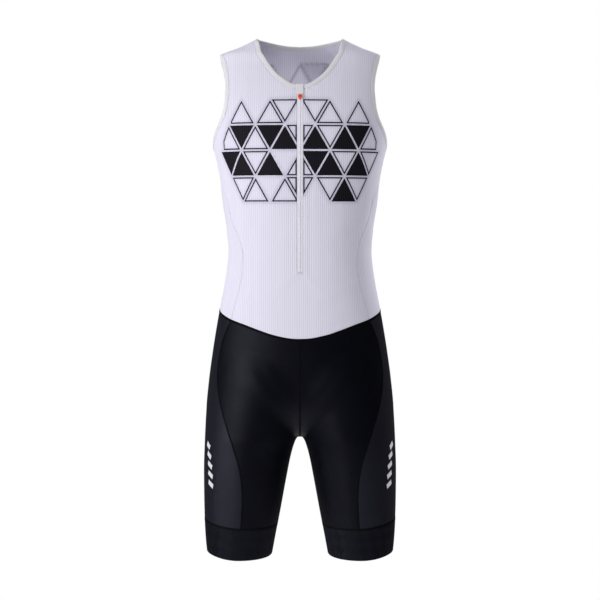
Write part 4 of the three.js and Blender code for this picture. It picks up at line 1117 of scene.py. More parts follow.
# ---------------------------------------------------------------- materials
class Shade:
    """A node material: small helpers that return sockets."""

    def __init__(self, name, roughness, specular=0.5, sheen=0.0, sheen_rough=0.5, sheen_tint=(1, 1, 1, 1), coat=0.0, metallic=0.0):
        self.material = bpy.data.materials.new(name)
        self.material.use_nodes = True
        self.tree = self.material.node_tree
        self.tree.nodes.clear()
        self.bsdf = self.add("ShaderNodeBsdfPrincipled")
        out = self.add("ShaderNodeOutputMaterial")
        self.tree.links.new(self.bsdf.outputs[0], out.inputs["Surface"])
        b = self.bsdf.inputs
        b["Roughness"].default_value = roughness
        b["Specular IOR Level"].default_value = specular
        b["Metallic"].default_value = metallic
        b["Sheen Weight"].default_value = sheen
        b["Sheen Roughness"].default_value = sheen_rough
        b["Sheen Tint"].default_value = sheen_tint
        b["Coat Weight"].default_value = coat
        MATERIALS[name] = self.material

    def add(self, kind, **values):
        node = self.tree.nodes.new(kind)
        for k, v in values.items():
            setattr(node, k, v)
        return node

    def put(self, value, socket):
        if isinstance(value, (int, float, tuple)):
            socket.default_value = value
        else:
            self.tree.links.new(value, socket)

    def math(self, operation, a, b=0.0, c=0.0, clamp=False):
        n = self.add("ShaderNodeMath", operation=operation, use_clamp=clamp)
        for value, socket in zip((a, b, c), n.inputs):
            self.put(value, socket)
        return n.outputs[0]

    def uv(self):
        n = self.add("ShaderNodeUVMap", uv_map="UVMap")
        s = self.add("ShaderNodeSeparateXYZ")
        self.tree.links.new(n.outputs[0], s.inputs[0])
        self.uv_vector = n.outputs[0]
        return s.outputs[0], s.outputs[1]

    def wave(self, value, pitch_mm, shift=0.0):
        """0 to 1 along value, once every pitch."""
        turn = self.math("MULTIPLY_ADD", value, 2 * math.pi * 1000 / pitch_mm, shift)
        return self.math("MULTIPLY_ADD", self.math("SINE", turn), 0.5, 0.5)

    def noise(self, vector, scale, detail=2.0, rough=0.5, stretch=None):
        if stretch is not None:
            m = self.add("ShaderNodeMapping")
            self.tree.links.new(vector, m.inputs[0])
            m.inputs["Scale"].default_value = stretch
            vector = m.outputs[0]
        n = self.add("ShaderNodeTexNoise")
        self.tree.links.new(vector, n.inputs["Vector"])
        n.inputs["Scale"].default_value = scale
        n.inputs["Detail"].default_value = detail
        n.inputs["Roughness"].default_value = rough
        return n.outputs[0]

    def ramp(self, value, low, high):
        n = self.add("ShaderNodeMapRange")
        n.interpolation_type = "SMOOTHSTEP"
        self.put(value, n.inputs[0])
        n.inputs[1].default_value, n.inputs[2].default_value = low, high
        return n.outputs[0]

    def blend(self, factor, a, b):
        n = self.add("ShaderNodeMix", data_type="RGBA")
        self.put(factor, n.inputs[0])
        self.put(a, n.inputs[6])
        self.put(b, n.inputs[7])
        return n.outputs[2]

    def attribute(self, name):
        return self.add("ShaderNodeAttribute", attribute_name=name).outputs["Fac"]

    def place(self):
        return self.add("ShaderNodeNewGeometry").outputs["Position"]

    def finish(self, colour, height=None, depth=0.0004, rough=None, strength=1.0):
        self.tree.links.new(colour, self.bsdf.inputs["Base Color"])
        if rough is not None:
            self.tree.links.new(rough, self.bsdf.inputs["Roughness"])
        if height is not None:
            b = self.add("ShaderNodeBump")
            b.inputs["Strength"].default_value = strength
            b.inputs["Distance"].default_value = depth
            self.tree.links.new(height, b.inputs["Height"])
            self.tree.links.new(b.outputs[0], self.bsdf.inputs["Normal"])
        return self.material


def rib_height(m, u, v, pitch=3.7):
    """Rib-knit: rounded ribs with narrow furrows, and small stitches along them."""
    wobble = m.math("MULTIPLY_ADD", m.noise(m.uv_vector, 14.0, 1.0, stretch=(1.0, 0.25, 1.0)), 0.0007, u)
    rib = m.wave(wobble, pitch)
    round_rib = m.math("POWER", rib, 0.55)
    knit = m.wave(v, 1.15, 0.0)
    fine = m.wave(u, pitch / 4)
    h = m.math("MULTIPLY_ADD", knit, 0.10, round_rib)
    h = m.math("MULTIPLY_ADD", fine, 0.10, h)
    return rib, h


def make_rib(name, light, dark, marks=True):
    m = Shade(name, 0.82, 0.22, sheen=0.12, sheen_rough=0.45, sheen_tint=(0.93, 0.92, 1.0, 1))
    u, v = m.uv()
    rib, h = rib_height(m, u, v)
    patchy = m.noise(m.uv_vector, 9.0, 3.0, 0.55, stretch=(1.0, 0.6, 1.0))
    streak = m.noise(m.uv_vector, 60.0, 2.0, 0.6, stretch=(1.0, 0.035, 1.0))
    # the colour is lighter on the ribs and darker in their furrows, following the bump's height: painted shade in the
    # furrows; the patchy and streaky noise is the knit's own uneven tone
    tone = m.math("MULTIPLY_ADD", m.math("POWER", rib, 0.6), 0.55, m.math("MULTIPLY", patchy, 0.25))
    tone = m.math("MULTIPLY_ADD", streak, 0.35, tone, clamp=True)
    colour = m.blend(tone, dark, light)
    if marks:
        colour = m.blend(m.attribute("halo"), colour, (0.20, 0.17, 0.33, 1))
        colour = m.blend(m.attribute("ghost"), colour, (0.13, 0.125, 0.17, 1))
    return m.finish(colour, h, 0.00040, strength=0.62)


def make_print(name):
    m = Shade(name, 0.7, 0.18, sheen=0.05, sheen_rough=0.4, sheen_tint=(0.8, 0.78, 1.0, 1))
    u, v = m.uv()
    rib, h = rib_height(m, u, v)
    # the print's ink is darker in the rib's furrows, following the bump's height: painted shade
    colour = m.blend(rib, (0.0045, 0.0038, 0.0068, 1), (0.0105, 0.0090, 0.0150, 1))
    return m.finish(colour, h, 0.00040, strength=0.62)


def make_lycra(name, light, dark, specular, rough):
    m = Shade(name, rough, specular, sheen=0.006, sheen_rough=0.3, sheen_tint=(0.55, 0.58, 1.0, 1))
    m.bsdf.inputs["Specular Tint"].default_value = (0.80, 0.80, 1.0, 1)
    u, v = m.uv()
    wale = m.wave(u, 0.85)
    course = m.wave(m.math("MULTIPLY_ADD", m.math("PINGPONG", u, 0.0005), 0.9, v), 0.95)
    h = m.math("MULTIPLY", wale, course)
    patchy = m.noise(m.uv_vector, 11.0, 4.0, 0.6)
    soft = m.noise(m.place(), 3.5, 1.0)
    # the colour is darker in the knit's dips, following the bump's height: painted shade; the patchy and soft noise is
    # the cloth's uneven tone
    tone = m.math("MULTIPLY_ADD", h, 0.35, m.math("MULTIPLY", patchy, 0.45))
    tone = m.math("MULTIPLY_ADD", soft, 0.2, tone, clamp=True)
    colour = m.blend(tone, dark, light)
    roughness = m.math("MULTIPLY_ADD", patchy, 0.12, rough - 0.06)
    return m.finish(colour, h, 0.00016, rough=roughness, strength=0.6)


def make_gripper(name):
    """Woven gripper elastic: small blocks whose threads run now one way, now the other."""
    m = Shade(name, 0.46, 0.08, sheen=0.006, sheen_rough=0.35, sheen_tint=(0.75, 0.75, 0.95, 1))
    u, v = m.uv()
    a = m.math("ADD", u, v)
    b = m.math("SUBTRACT", u, v)
    one, two = m.wave(a, 4.4), m.wave(b, 4.4)
    pick = m.ramp(m.math("MULTIPLY", m.math("SINE", m.math("MULTIPLY", a, 2 * math.pi * 1000 / 44)), m.math("SINE", m.math("MULTIPLY", b, 2 * math.pi * 1000 / 44))), -0.12, 0.12)
    weave = m.math("ADD", m.math("MULTIPLY", one, pick), m.math("MULTIPLY", two, m.math("SUBTRACT", 1.0, pick)))
    # the colour follows the weave's height, darker between the threads: painted shade in the weave, beside the blocks'
    # own tone
    block = m.math("MULTIPLY_ADD", pick, 0.15, m.math("MULTIPLY", weave, 0.8))
    tone = m.math("MULTIPLY_ADD", m.noise(m.uv_vector, 20.0, 2.0), 0.15, block, clamp=True)
    colour = m.blend(tone, (0.0007, 0.0008, 0.0018, 1), (0.0092, 0.0094, 0.0172, 1))
    return m.finish(colour, m.math("MULTIPLY_ADD", pick, 0.3, weave), 0.00028, strength=0.9)


def make_elastic(name, light, dark, pitch=1.3, specular=0.25, sheen=0.10):
    m = Shade(name, 0.72, specular, sheen=sheen, sheen_rough=0.4)
    u, v = m.uv()
    cross_rib = m.wave(m.math("ADD", u, v), pitch)
    other = m.wave(m.math("SUBTRACT", u, v), pitch)
    h = m.math("MULTIPLY", cross_rib, other)
    # the colour follows the cross ribs' height, darker between them: painted shade; the noise is the tape's uneven tone
    tone = m.math("MULTIPLY_ADD", m.noise(m.uv_vector, 25.0, 3.0), 0.5, m.math("MULTIPLY", h, 0.5), clamp=True)
    return m.finish(m.blend(tone, dark, light), h, 0.00015, strength=0.7)


def make_plastic(name, light, dark, rough, specular, coat=0.0, depth=0.00004, scale=420.0):
    m = Shade(name, rough, specular, coat=coat)
    p = m.place()
    fine = m.noise(p, scale, 3.0, 0.6)
    wide = m.noise(p, scale / 8, 2.0, 0.5)
    tone = m.math("MULTIPLY_ADD", fine, 0.35, m.math("MULTIPLY", wide, 0.65), clamp=True)
    roughness = m.math("MULTIPLY_ADD", wide, 0.18, rough - 0.09)
    return m.finish(m.blend(tone, dark, light), fine, depth, rough=roughness)


def make_thread(name, light, dark, specular=0.3, sheen=0.15):
    m = Shade(name, 0.6, specular, sheen=sheen)
    p = m.place()
    s = m.add("ShaderNodeSeparateXYZ")
    m.tree.links.new(p, s.inputs[0])
    twist = m.wave(m.math("ADD", m.math("ADD", s.outputs[0], s.outputs[2]), s.outputs[1]), 0.42)
    # the colour follows the twist's height, darker in its grooves: painted shade
    tone = m.math("MULTIPLY_ADD", m.noise(p, 300.0, 2.0), 0.4, m.math("MULTIPLY", twist, 0.6), clamp=True)
    return m.finish(m.blend(tone, dark, light), twist, 0.00008)


make_rib("white_rib", (0.765, 0.748, 0.858, 1), (0.575, 0.560, 0.680, 1))
make_rib("white_rib_side", (0.755, 0.738, 0.850, 1), (0.560, 0.545, 0.665, 1), marks=False)
make_print("print_black")
make_lycra("black_lycra", (0.0034, 0.0038, 0.0080, 1), (0.0010, 0.0012, 0.0028, 1), 0.19, 0.43)
# the side panels' copy of the black lycra has a lighter base colour: painted sheen, for the light that catches the
# shorts' sides
make_lycra("black_lycra_side_painted_sheen", (0.0130, 0.0130, 0.0222, 1), (0.0058, 0.0058, 0.0104, 1), 0.34, 0.43)
make_gripper("gripper")
make_elastic("binding", (0.79, 0.782, 0.815, 1), (0.66, 0.652, 0.685, 1))
make_elastic("black_tape", (0.0030, 0.0032, 0.0054, 1), (0.0012, 0.0013, 0.0024, 1), 1.1, specular=0.10, sheen=0.0)
make_elastic("tape_white", (0.90, 0.895, 0.945, 1), (0.76, 0.755, 0.82, 1), 0.9)
make_plastic("coil_white", (0.90, 0.90, 0.95, 1), (0.78, 0.775, 0.84, 1), 0.42, 0.4)
make_plastic("slider_orange", (0.84, 0.125, 0.036, 1), (0.66, 0.08, 0.02, 1), 0.32, 0.5, coat=0.25)
make_plastic("pull_orange", (0.90, 0.115, 0.028, 1), (0.70, 0.07, 0.016, 1), 0.48, 0.4)
make_thread("thread_white", (0.78, 0.77, 0.85, 1), (0.62, 0.61, 0.70, 1))
make_thread("thread_black", (0.0075, 0.0075, 0.0105, 1), (0.0022, 0.0022, 0.0032, 1), 0.08, 0.0)

# ---------------------------------------------------------------- the print: a made-up field of small triangles
TRI_SIDE, TRI_ROWS_TOP = 52.0, -97.0
TRI_HIGH = TRI_SIDE * math.sqrt(3) / 2
CHEST_MARKS = [
    "..o.oo.oo.o..",
    ".oFoFFoFoFFo.",
    ".FFoF.oFFoFo.",
    "..oo.oo.oFo..",
]
BACK_MARKS = [
    "..oFo.o..",
    ".oFFoFFo.",
    "...oFo...",
]


def inset(poly, w):
    """A convex polygon (anticlockwise) with every side moved in by w, or None if nothing is left."""
    k = len(poly)
    lines = []
    for i in range(k):
        a, b = poly[i], poly[(i + 1) % k]
        d = unit(b - a)
        n = np.array([-d[1], d[0]])
        lines.append((a + n * w, d))
    out = []
    for i in range(k):
        (p, d), (q, e) = lines[i - 1], lines[i]
        det = d[0] * -e[1] + e[0] * d[1]
        if abs(det) < 1e-9:
            return None
        t = ((q[0] - p[0]) * -e[1] + e[0] * (q[1] - p[1])) / det
        out.append(p + d * t)
    out = np.array(out)
    area = lambda g: 0.5 * np.sum(g[:, 0] * np.roll(g[:, 1], -1) - np.roll(g[:, 0], -1) * g[:, 1])
    same = all(np.dot(out[(i + 1) % k] - out[i], poly[(i + 1) % k] - poly[i]) > 0 for i in range(k))
    return out if same and area(out) > 4 else None


def clip(poly, axis, value, keep):
    """The part of a convex polygon on one side of an upright or level line."""
    out = []
    for i in range(len(poly)):
        a, b = poly[i], poly[(i + 1) % len(poly)]
        fa, fb = (a[axis] - value) * keep, (b[axis] - value) * keep
        if fa >= 0:
            out.append(a)
        if fa * fb < 0:
            out.append(a + (b - a) * fa / (fa - fb))
    return np.array(out) if len(out) >= 3 else None


def tiles(rows, top, middle_gap, limit):
    """Polygons of a mark table, in (u, z), each with its letter. limit(z) is how far the panel reaches."""
    out = []
    for r, row in enumerate(rows):
        half = len(row) // 2
        hi, lo = top - r * TRI_HIGH, top - (r + 1) * TRI_HIGH
        for c, letter in enumerate(row):
            if letter == ".":
                continue
            x = (c - half) * TRI_SIDE / 2
            up = (c + r) % 2 == 0
            if up:
                poly = np.array([[x - TRI_SIDE / 2, lo], [x + TRI_SIDE / 2, lo], [x, hi]])
            else:
                poly = np.array([[x, lo], [x + TRI_SIDE / 2, hi], [x - TRI_SIDE / 2, hi]])
            if middle_gap:
                parts = [clip(poly, 0, middle_gap, 1), clip(poly, 0, -middle_gap, -1)]
            else:
                parts = [poly]
            for part in parts:
                if part is not None:
                    far = float(np.min(limit(np.linspace(part[:, 1].min(), part[:, 1].max(), 9)))) - 5.0
                    for keep in (1, -1):
                        part = clip(part, 0, -far * keep, keep) if part is not None else None
                if part is not None:
                    part = inset(part, 1.6)
                    if part is not None:
                        out.append((part, letter))
    return out


def fan(poly, step):
    """A convex polygon as small triangles: points and corners."""
    c = poly.mean(0)
    pts, tris = [], []
    for i in range(len(poly)):
        a, b = poly[i], poly[(i + 1) % len(poly)]
        n = max(1, int(math.ceil(max(np.linalg.norm(a - c), np.linalg.norm(b - c), np.linalg.norm(a - b)) / step)))
        base = len(pts)
        idx = {}
        for p in range(n + 1):
            for q in range(n + 1 - p):
                idx[p, q] = base + len(idx)
                pts.append(c + (a - c) * p / n + (b - c) * q / n)
        for p in range(n):
            for q in range(n - p):
                tris.append([idx[p, q], idx[p + 1, q], idx[p, q + 1]])
                if p + q < n - 1:
                    tris.append([idx[p + 1, q], idx[p + 1, q + 1], idx[p, q + 1]])
    return np.array(pts), np.array(tris)


def band_between(outer, inner, step):
    pts, quads = [], []
    k = len(outer)
    rows = []
    for i in range(k):
        n = max(1, int(math.ceil(np.linalg.norm(outer[(i + 1) % k] - outer[i]) / step)))
        for j in range(n):
            rows.append((mix(outer[i], outer[(i + 1) % k], j / n), mix(inner[i], inner[(i + 1) % k], j / n)))
    for a, b in rows:
        pts += [a, b]
    m = len(rows)
    for i in range(m):
        j = (i + 1) % m
        quads.append([2 * i, 2 * j, 2 * j + 1, 2 * i + 1])
    return np.array(pts), np.array(quads)


def film(pts, faces, to_surface, thick=0.2, sink=0.08):
    """A closed thin solid over the cloth from a flat drawing in (u, z)."""
    key = np.round(pts * 1e4).astype(np.int64)
    _, first, back = np.unique(key, axis=0, return_index=True, return_inverse=True)
    pts, faces = pts[first], back.ravel()[faces]
    top, n = to_surface(pts[:, 0], pts[:, 1], thick)
    low = top - n * (thick + sink)
    k = len(pts)
    w = faces.shape[1]
    a, b = faces.ravel(), np.roll(faces, -1, 1).ravel()
    border = ~np.isin(a * k + b, b * k + a)
    sides = np.stack([b[border], a[border], k + a[border], k + b[border]], 1)
    pad = (lambda f: np.concatenate([f, np.full((len(f), 1), -1)], 1)) if w == 3 else (lambda f: f)
    all_faces = np.concatenate([pad(faces), pad(faces[:, ::-1] + k), sides])
    uv = np.concatenate([pts, pts]) * MM
    return np.concatenate([top, low]), all_faces, uv


def front_surface(u, z, out):
    return at_u(u, z, out)


def back_surface(u, z, out):
    """u is signed from centre back: positive is the wearer's right, as seen from behind."""
    length = length_at(z)
    return surface(1 - np.abs(u) / length, z, np.where(u < 0, 1.0, -1.0), out)


def printed(name, marks, to_surface, replaced=None):
    v, f, uv, n = [], [], [], 0
    for poly, letter in marks:
        inner = inset(poly, 2.15)
        if letter == "F" or inner is None:
            pts, faces = fan(poly, 4.0)
        else:
            pts, faces = band_between(poly, inner, 2.5)
        a, b, c = film(pts, faces, to_surface)
        v.append(a)
        f.append(np.where(b < 0, -1, b + n))
        uv.append(c)
        n += len(a)
    return link(name, np.concatenate(v), np.concatenate(f), "print_black", uv=np.concatenate(uv), smooth_angle=40)




def panel_limit(turns, upright, corner, from_back):
    """How far a panel reaches round the cloth, by height: to the armhole, and under it to the side seam."""
    s, z = arm_inside(turns)
    order = np.argsort(z)

    def limit(h):
        reach = np.where(h > corner[1], np.interp(h, z[order], s[order]), upright(h))
        return (1 - reach if from_back else reach) * length_at(h)

    return limit


CHEST_TILES = tiles(CHEST_MARKS, TRI_ROWS_TOP, 4.1, panel_limit(np.linspace(0.1, FRONT_TURN, 300), top_front_seam, FRONT_CORNER, False))
BACK_TILES = tiles(BACK_MARKS, -20.0, 0, panel_limit(np.linspace(BACK_TURN, 2 * math.pi - 0.1, 300), top_back_seam, BACK_CORNER, True))


def edge_distance(u, z, marks):
    """Distance to the nearest drawn edge, and whether a place is inside a filled shape."""
    best = np.full(len(u), 1e9)
    inside = np.zeros(len(u), bool)
    for poly, letter in marks:
        k = len(poly)
        near = (np.abs(u - poly[:, 0].mean()) < 40) & (np.abs(z - poly[:, 1].mean()) < 40)
        if not near.any():
            continue
        uu, zz = u[near], z[near]
        d = np.full(len(uu), 1e9)
        within = np.ones(len(uu), bool)
        for i in range(k):
            a, b = poly[i], poly[(i + 1) % k]
            e = b - a
            t = np.clip(((uu - a[0]) * e[0] + (zz - a[1]) * e[1]) / (e @ e), 0, 1)
            d = np.minimum(d, np.hypot(uu - a[0] - t * e[0], zz - a[1] - t * e[1]))
            within &= e[0] * (zz - a[1]) - e[1] * (uu - a[0]) > 0
        best[near] = np.minimum(best[near], d)
        inside[near] |= within if letter == "F" else False
    return best, inside


def roll(f, deep=0.26, reach=0.9):
    return -deep * np.exp(-((f.far / reach) ** 2))


def clothe(name, f, low, high, material, attributes=None):
    v, faces, uv = f.shell(low, high)
    h = uv[:, 1] / MM
    if "side" in name or "shorts" in name:  # the knit runs along the side line, so it goes on straight past the crotch
        uv[:, 0] -= np.sign(v[:, 0].mean()) * side_s(h) * length_at(h) * MM
    if name == "cloth_back":  # and on the back along its middle
        uv[:, 0] = (length_at(h) * MM - np.abs(uv[:, 0])) * np.where(uv[:, 0] < 0, 1, -1)
    ob = link(name, v, faces, material, uv=uv, attributes=attributes)
    node = name.removeprefix("cloth_")
    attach(ob, "suit")
    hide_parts(node)
    return ob


_front = build_front()
_d, _in = edge_distance(_front.u, _front.zz, CHEST_TILES)
_soft = np.exp(-((_d / 4.2) ** 2)) * 0.30
_halo = np.concatenate([np.where(_in, 0.0, _soft), np.zeros(len(_front.u))])
_ghost = np.concatenate([np.zeros(len(_front.u)), np.where(_in, 0.30, _soft * 0.35)])
clothe("cloth_front", _front, -1.5 + 0.25 * np.exp(-(_front.far / 0.9) ** 2), roll(_front), "white_rib", {"halo": _halo, "ghost": _ghost})
_back = build_back()
_ub = (length_at(_back.zz) - np.abs(_back.u)) * np.where(_back.u < 0, 1, -1)
_d, _in = edge_distance(_ub, _back.zz, BACK_TILES)
_soft = np.exp(-((_d / 4.2) ** 2)) * 0.30
_halo = np.concatenate([np.where(_in, 0.0, _soft), np.zeros(len(_back.u))])
_ghost = np.concatenate([np.zeros(len(_back.u)), np.maximum(np.where(_in, 0.20, 0.0), np.exp(-((_d / 2.2) ** 2)) * 0.5)])
clothe("cloth_back", _back, -1.5 + 0.25 * np.exp(-(_back.far / 0.9) ** 2), roll(_back), "white_rib", {"halo": _halo, "ghost": _ghost})
for _tag, _side in (("L", 1), ("R", -1)):
    _f = build_side(_side)
    clothe("cloth_side_" + _tag, _f, -1.5, roll(_f), "white_rib_side")
    for _which, _mat in (("front", "black_lycra"), ("side", "black_lycra_side_painted_sheen"), ("back", "black_lycra")):
        _f = build_shorts(_which, _side)
        _n = "shorts_%s_%s" % (_which, _tag)
        clothe("cloth_" + _n, _f, -1.5, roll(_f), _mat)
    _f = build_band(_side)
    clothe("cloth_leg_band_" + _tag, _f, -1.7, 0.3 + roll(_f, 0.5, 0.9), "gripper")
    _turns = np.linspace(0, 2 * math.pi, 261)[:-1]
    _turns = np.unique(np.concatenate([_turns, [FRONT_TURN, BACK_TURN]]))
    # the ring runs from the front corner under the arm and up the back, so the strip's outside faces out
    _at = int(np.argmin(np.abs(_turns - FRONT_TURN)))
    _order = np.concatenate([_turns[_at:], _turns[:_at]])
    _ring_in, _ring_edge = arm_inside(_order), arm_edge(_order)
    _f = build_binding(_ring_in, _ring_edge, [_side], True)
    clothe("cloth_armhole_binding_" + _tag, _f, profile(_f.w, 2), profile(_f.w, 1), "binding")
_s = np.concatenate([np.linspace(NECK_START, NECK_POINT_S, 70), np.linspace(NECK_POINT_S, 1, 44)[1:]])
_in_s, _in_z = neck_inside(_s)
_edge_s, _edge_z = _s.copy(), neck_z(_s)
_edge_s[0] = front_s(np.array([ZIP_HALF]), _edge_z[:1])[0]
_f = build_binding((_in_s, _in_z), (_edge_s, _edge_z), [1, -1], False)
clothe("cloth_neck_binding", _f, profile(_f.w, 2), profile(_f.w, 1), "binding")
_zs = np.concatenate([np.linspace(BELLY_LEVEL, ZIP_TOP_Z, 130), [ZIP_TOP_Z + 8]])
for _tag, _x0, _x1 in (("L", CHAIN_HALF, ZIP_HALF), ("R", -ZIP_HALF, -CHAIN_HALF)):
    _f = build_strip(_x0, _x1, _zs, 5)
    clothe("cloth_zip_tape_" + _tag, _f, -1.3, -0.3 + roll(_f, 0.15, 0.5), "tape_white")


# ---------------------------------------------------------------- zip: chain, garage, slider and pull
def add_piece(ob, slot, *nodes):
    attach(ob, "suit")
    if nodes:
        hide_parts(*nodes)
    return ob


def coil():
    """The closed coil: two rows of nylon loops that lie side by side, over a woven core."""
    pitch, radius = 1.25, 0.42
    zs = np.arange(BELLY_LEVEL + 1.2, ZIP_TOP_Z + 2.0, pitch)
    parts = []
    ang = np.linspace(0, 2 * math.pi, 7)[:-1]
    # one loop: it leaves the middle, goes out and comes round
    line = np.array([(-0.25, 0.30), (0.35, 0.34), (0.95, 0.26), (1.36, 0.02), (1.50, -0.34)])
    m = len(line)
    verts_all, faces_all, n = [], [], 0
    for side in (1, -1):
        z0 = zs + (0 if side > 0 else pitch / 2)
        mid, nrm = at_u(np.full(len(z0), 1e-4), z0, -0.12)
        up = unit(np.gradient(mid, axis=0))
        for i in range(len(z0)):
            x = np.array([side, 0.0, 0.0])
            c = mid[i] + line[:, 0:1] * x + line[:, 1:2] * nrm[i] + (line[:, 0:1] * 0.12) * up[i]
            t = unit(np.gradient(c, axis=0))
            b = unit(np.cross(t, up[i]))
            rr = radius * np.array([0.55, 1.0, 1.0, 0.95, 0.55])
            ring = c[:, None] + (up[i][None, None] * np.cos(ang)[None, :, None] * 1.15 + b[:, None] * np.sin(ang)[None, :, None]) * rr[:, None, None]
            v = ring.reshape(-1, 3)
            f = []
            for r in range(m - 1):
                for k in range(6):
                    j = (k + 1) % 6
                    q = [r * 6 + k, r * 6 + j, r * 6 + 6 + j, r * 6 + 6 + k]
                    f.append(q if side < 0 else q[::-1])
            for r, flip in ((0, side < 0), (m - 1, side > 0)):
                row = [r * 6 + k for k in range(6)]
                if flip:
                    row = row[::-1]
                f.append([row[0], row[1], row[2], row[3]])
                f.append([row[0], row[3], row[4], row[5]])
            verts_all.append(v)
            faces_all.append(np.array(f) + n)
            n += len(v)
    core = build_strip(-CHAIN_HALF, CHAIN_HALF, _zs, 6)
    cv, cf, _ = core.shell(-1.2, -0.42)
    verts_all.append(cv)
    faces_all.append(np.where(cf < 0, -1, cf + n))
    v, f = np.concatenate(verts_all), np.concatenate(faces_all)
    return link("cloth_zip_chain", v, f, "coil_white", uv=v[:, [0, 2]] * MM, smooth_angle=60)


add_piece(coil(), "zip_teeth", "zip_chain")


def garage():
    """The small folded cap over the top of the zip, with its two topstitched sides."""
    f = Patchwork()
    xs = np.array([-6.4, -6.1, -5.6, -4.8, -3.6, -2.4, -1.2, 0.0, 1.2, 2.4, 3.6, 4.8, 5.6, 6.1, 6.4])
    ax = np.maximum(np.abs(xs), 0.01)
    tops = np.array([neck_z(solve(lambda s: place(s, neck_z(s))[..., 0] - a, np.array([0.0]), np.array([0.1])))[0] for a in ax]) - 0.5
    lows = SLIDER_Z + 3 + 1.4 * ease((np.abs(xs) - 3.2) / 3.2)
    t = np.unique(np.concatenate([[0, 0.02, 0.06, 0.12], np.linspace(0.18, 0.82, 8), [0.88, 0.94, 0.98, 1]]))
    z = mix(lows[None, :], tops[None, :], t[:, None])
    s = np.zeros_like(z)
    for k, x in enumerate(xs):
        if x:
            s[:, k] = front_s(np.full(len(t), abs(x)), z[:, k])
    f.s.append(s.ravel())
    f.z.append(z.ravel())
    f.side.append(np.where(np.repeat(xs[None, :], len(t), 0) < 0, -1.0, 1.0).ravel())
    ids = np.arange(s.size).reshape(s.shape)
    f.count += s.size
    f.join(ids, 1)
    f.done()
    soft = 1 - np.exp(-((f.far / 0.6) ** 2))
    v, faces, uv = f.shell(0.9 + 0.45 * (1 - soft), 1.55 + 0.5 * soft, gap=0)
    return link("cloth_zip_garage", v, faces, "binding", uv=uv)


add_piece(garage(), "white_binding", "zip_garage")
for _node, _mat in (("zip_slider", "slider_orange"), ("zip_pull", "pull_orange")):
    _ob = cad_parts[_node]
    for _slot in _ob.material_slots:
        _slot.material = MATERIALS[_mat]

# ---------------------------------------------------------------- the prints and the leg's plain slanted bars
add_piece(printed("print_chest", CHEST_TILES, front_surface), "white_rib")
add_piece(printed("print_back", BACK_TILES, back_surface), "white_rib")


def bars(side):
    """Plain slanted bars down the outer thigh, on the side panel."""
    v, f, uv, n = [], [], [], 0
    for i in range(5):
        z = -712 - i * 17.0
        s0 = float(shorts_front_seam(np.array([z]))[0])
        u0 = s0 * float(length_at(z)) + 60
        poly = np.array([[u0, z - 4.2], [u0 + 17, z + 3.2], [u0 + 17, z + 11.0], [u0, z + 3.6]])
        pts, faces = fan(poly, 4.0)
        a, b, c = film(pts, faces, lambda u, zz, out: surface(u / length_at(zz), zz, side, out))
        b = b if side > 0 else np.where(b[:, 3:4] < 0, np.concatenate([b[:, 2::-1], b[:, 3:]], 1), b[:, ::-1])
        v.append(a)
        f.append(np.where(b < 0, -1, b + n))
        uv.append(c)
        n += len(a)
    return link("bars_L" if side > 0 else "bars_R", np.concatenate(v), np.concatenate(f), "bar_white", uv=np.concatenate(uv), smooth_angle=40)


make_elastic("bar_white", (0.72, 0.71, 0.76, 1), (0.60, 0.59, 0.64, 1), 0.9)
for _side in (1, -1):
    add_piece(bars(_side), "white_binding")

# ---------------------------------------------------------------- seams, tapes and stitches
white, black = Threads(), Threads()
white_ridges, black_ridges = [], []


def line_on(s, z, side, out=0.0):
    return surface(s, z, side, out)


def twin(threads, points, normals, w, **kw):
    for k in (-1, 1):
        threads.row(aside(points, normals, w * k), normals, **kw)


for _side in (1, -1):
    # side seams of the top
    for _upright, _corner, _start in ((top_front_seam, FRONT_CORNER, WAIST_FRONT), (top_back_seam, BACK_CORNER, WAIST_BACK)):
        _z = np.linspace(_start[1] + 2.5, _corner[1] - 1.5, 260)
        _p, _n = line_on(_upright(_z), _z, _side)
        twin(white, _p, _n, 1.7, radius=0.17)
    # shoulder seam
    _t = np.linspace(0.015, 0.985, 60)
    _s, _z = shoulder(_t)
    _p, _n = line_on(_s, _z, _side)
    twin(white, _p, _n, 1.6, radius=0.17)
    # side seams of the shorts
    for _line in (SHORTS_FRONT_LINE, SHORTS_BACK_LINE):
        _z = np.linspace(_line[1][0] - 6, _line[1][-1] + 2.5, 420)
        _s = np.interp(-_z, -_line[1], _line[0])
        _p, _n = line_on(_s, _z, _side)
        black_ridges.append(ridge(_p, _n, 3.4, 0.26))
        twin(black, _p, _n, 1.05, radius=0.19, sink=-0.15)
    # inseam
    _z = np.linspace(CROTCH_Z - 3, float(band_top(0)) + 2.5, 120)
    _p, _n = line_on(np.zeros_like(_z), _z, _side)
    black_ridges.append(ridge(_p, _n, 3.2, 0.3))
    twin(black, _p, _n, 1.0, radius=0.2, sink=-0.18)
    # top edge of the leg band
    _s = np.linspace(0, 1, 420)
    _z = band_top(_s) + 1.1
    _p, _n = line_on(_s, _z, _side)
    _p[-1], _n[-1] = _p[0], _n[0]
    black_ridges.append(ridge(_p, _n, 4.4, 0.5, closed=True))
    _z = band_top(_s) + 4.6
    _p, _n = line_on(_s, _z, _side)
    black.row(_p, _n, radius=0.19)
    _z = band_hem(_s) + 2.4
    _p, _n = surface(_s, _z, _side, 0.3)
    black.row(_p, _n, radius=0.18)
    # armhole binding: a row on it, and one on the panel beside it
    _t = np.linspace(0, 2 * math.pi, 500)
    _es, _ez = arm_edge(_t)
    _is, _iz = arm_inside(_t)
    for _w, _out, _r in ((1.5 / 9, 0.3, 0.17), (-1.7 / 9, 0.0, 0.16)):
        _p, _n = surface(mix(_is, _es, _w), mix(_iz, _ez, _w), _side, _out)
        white.row(_p, _n, radius=_r)
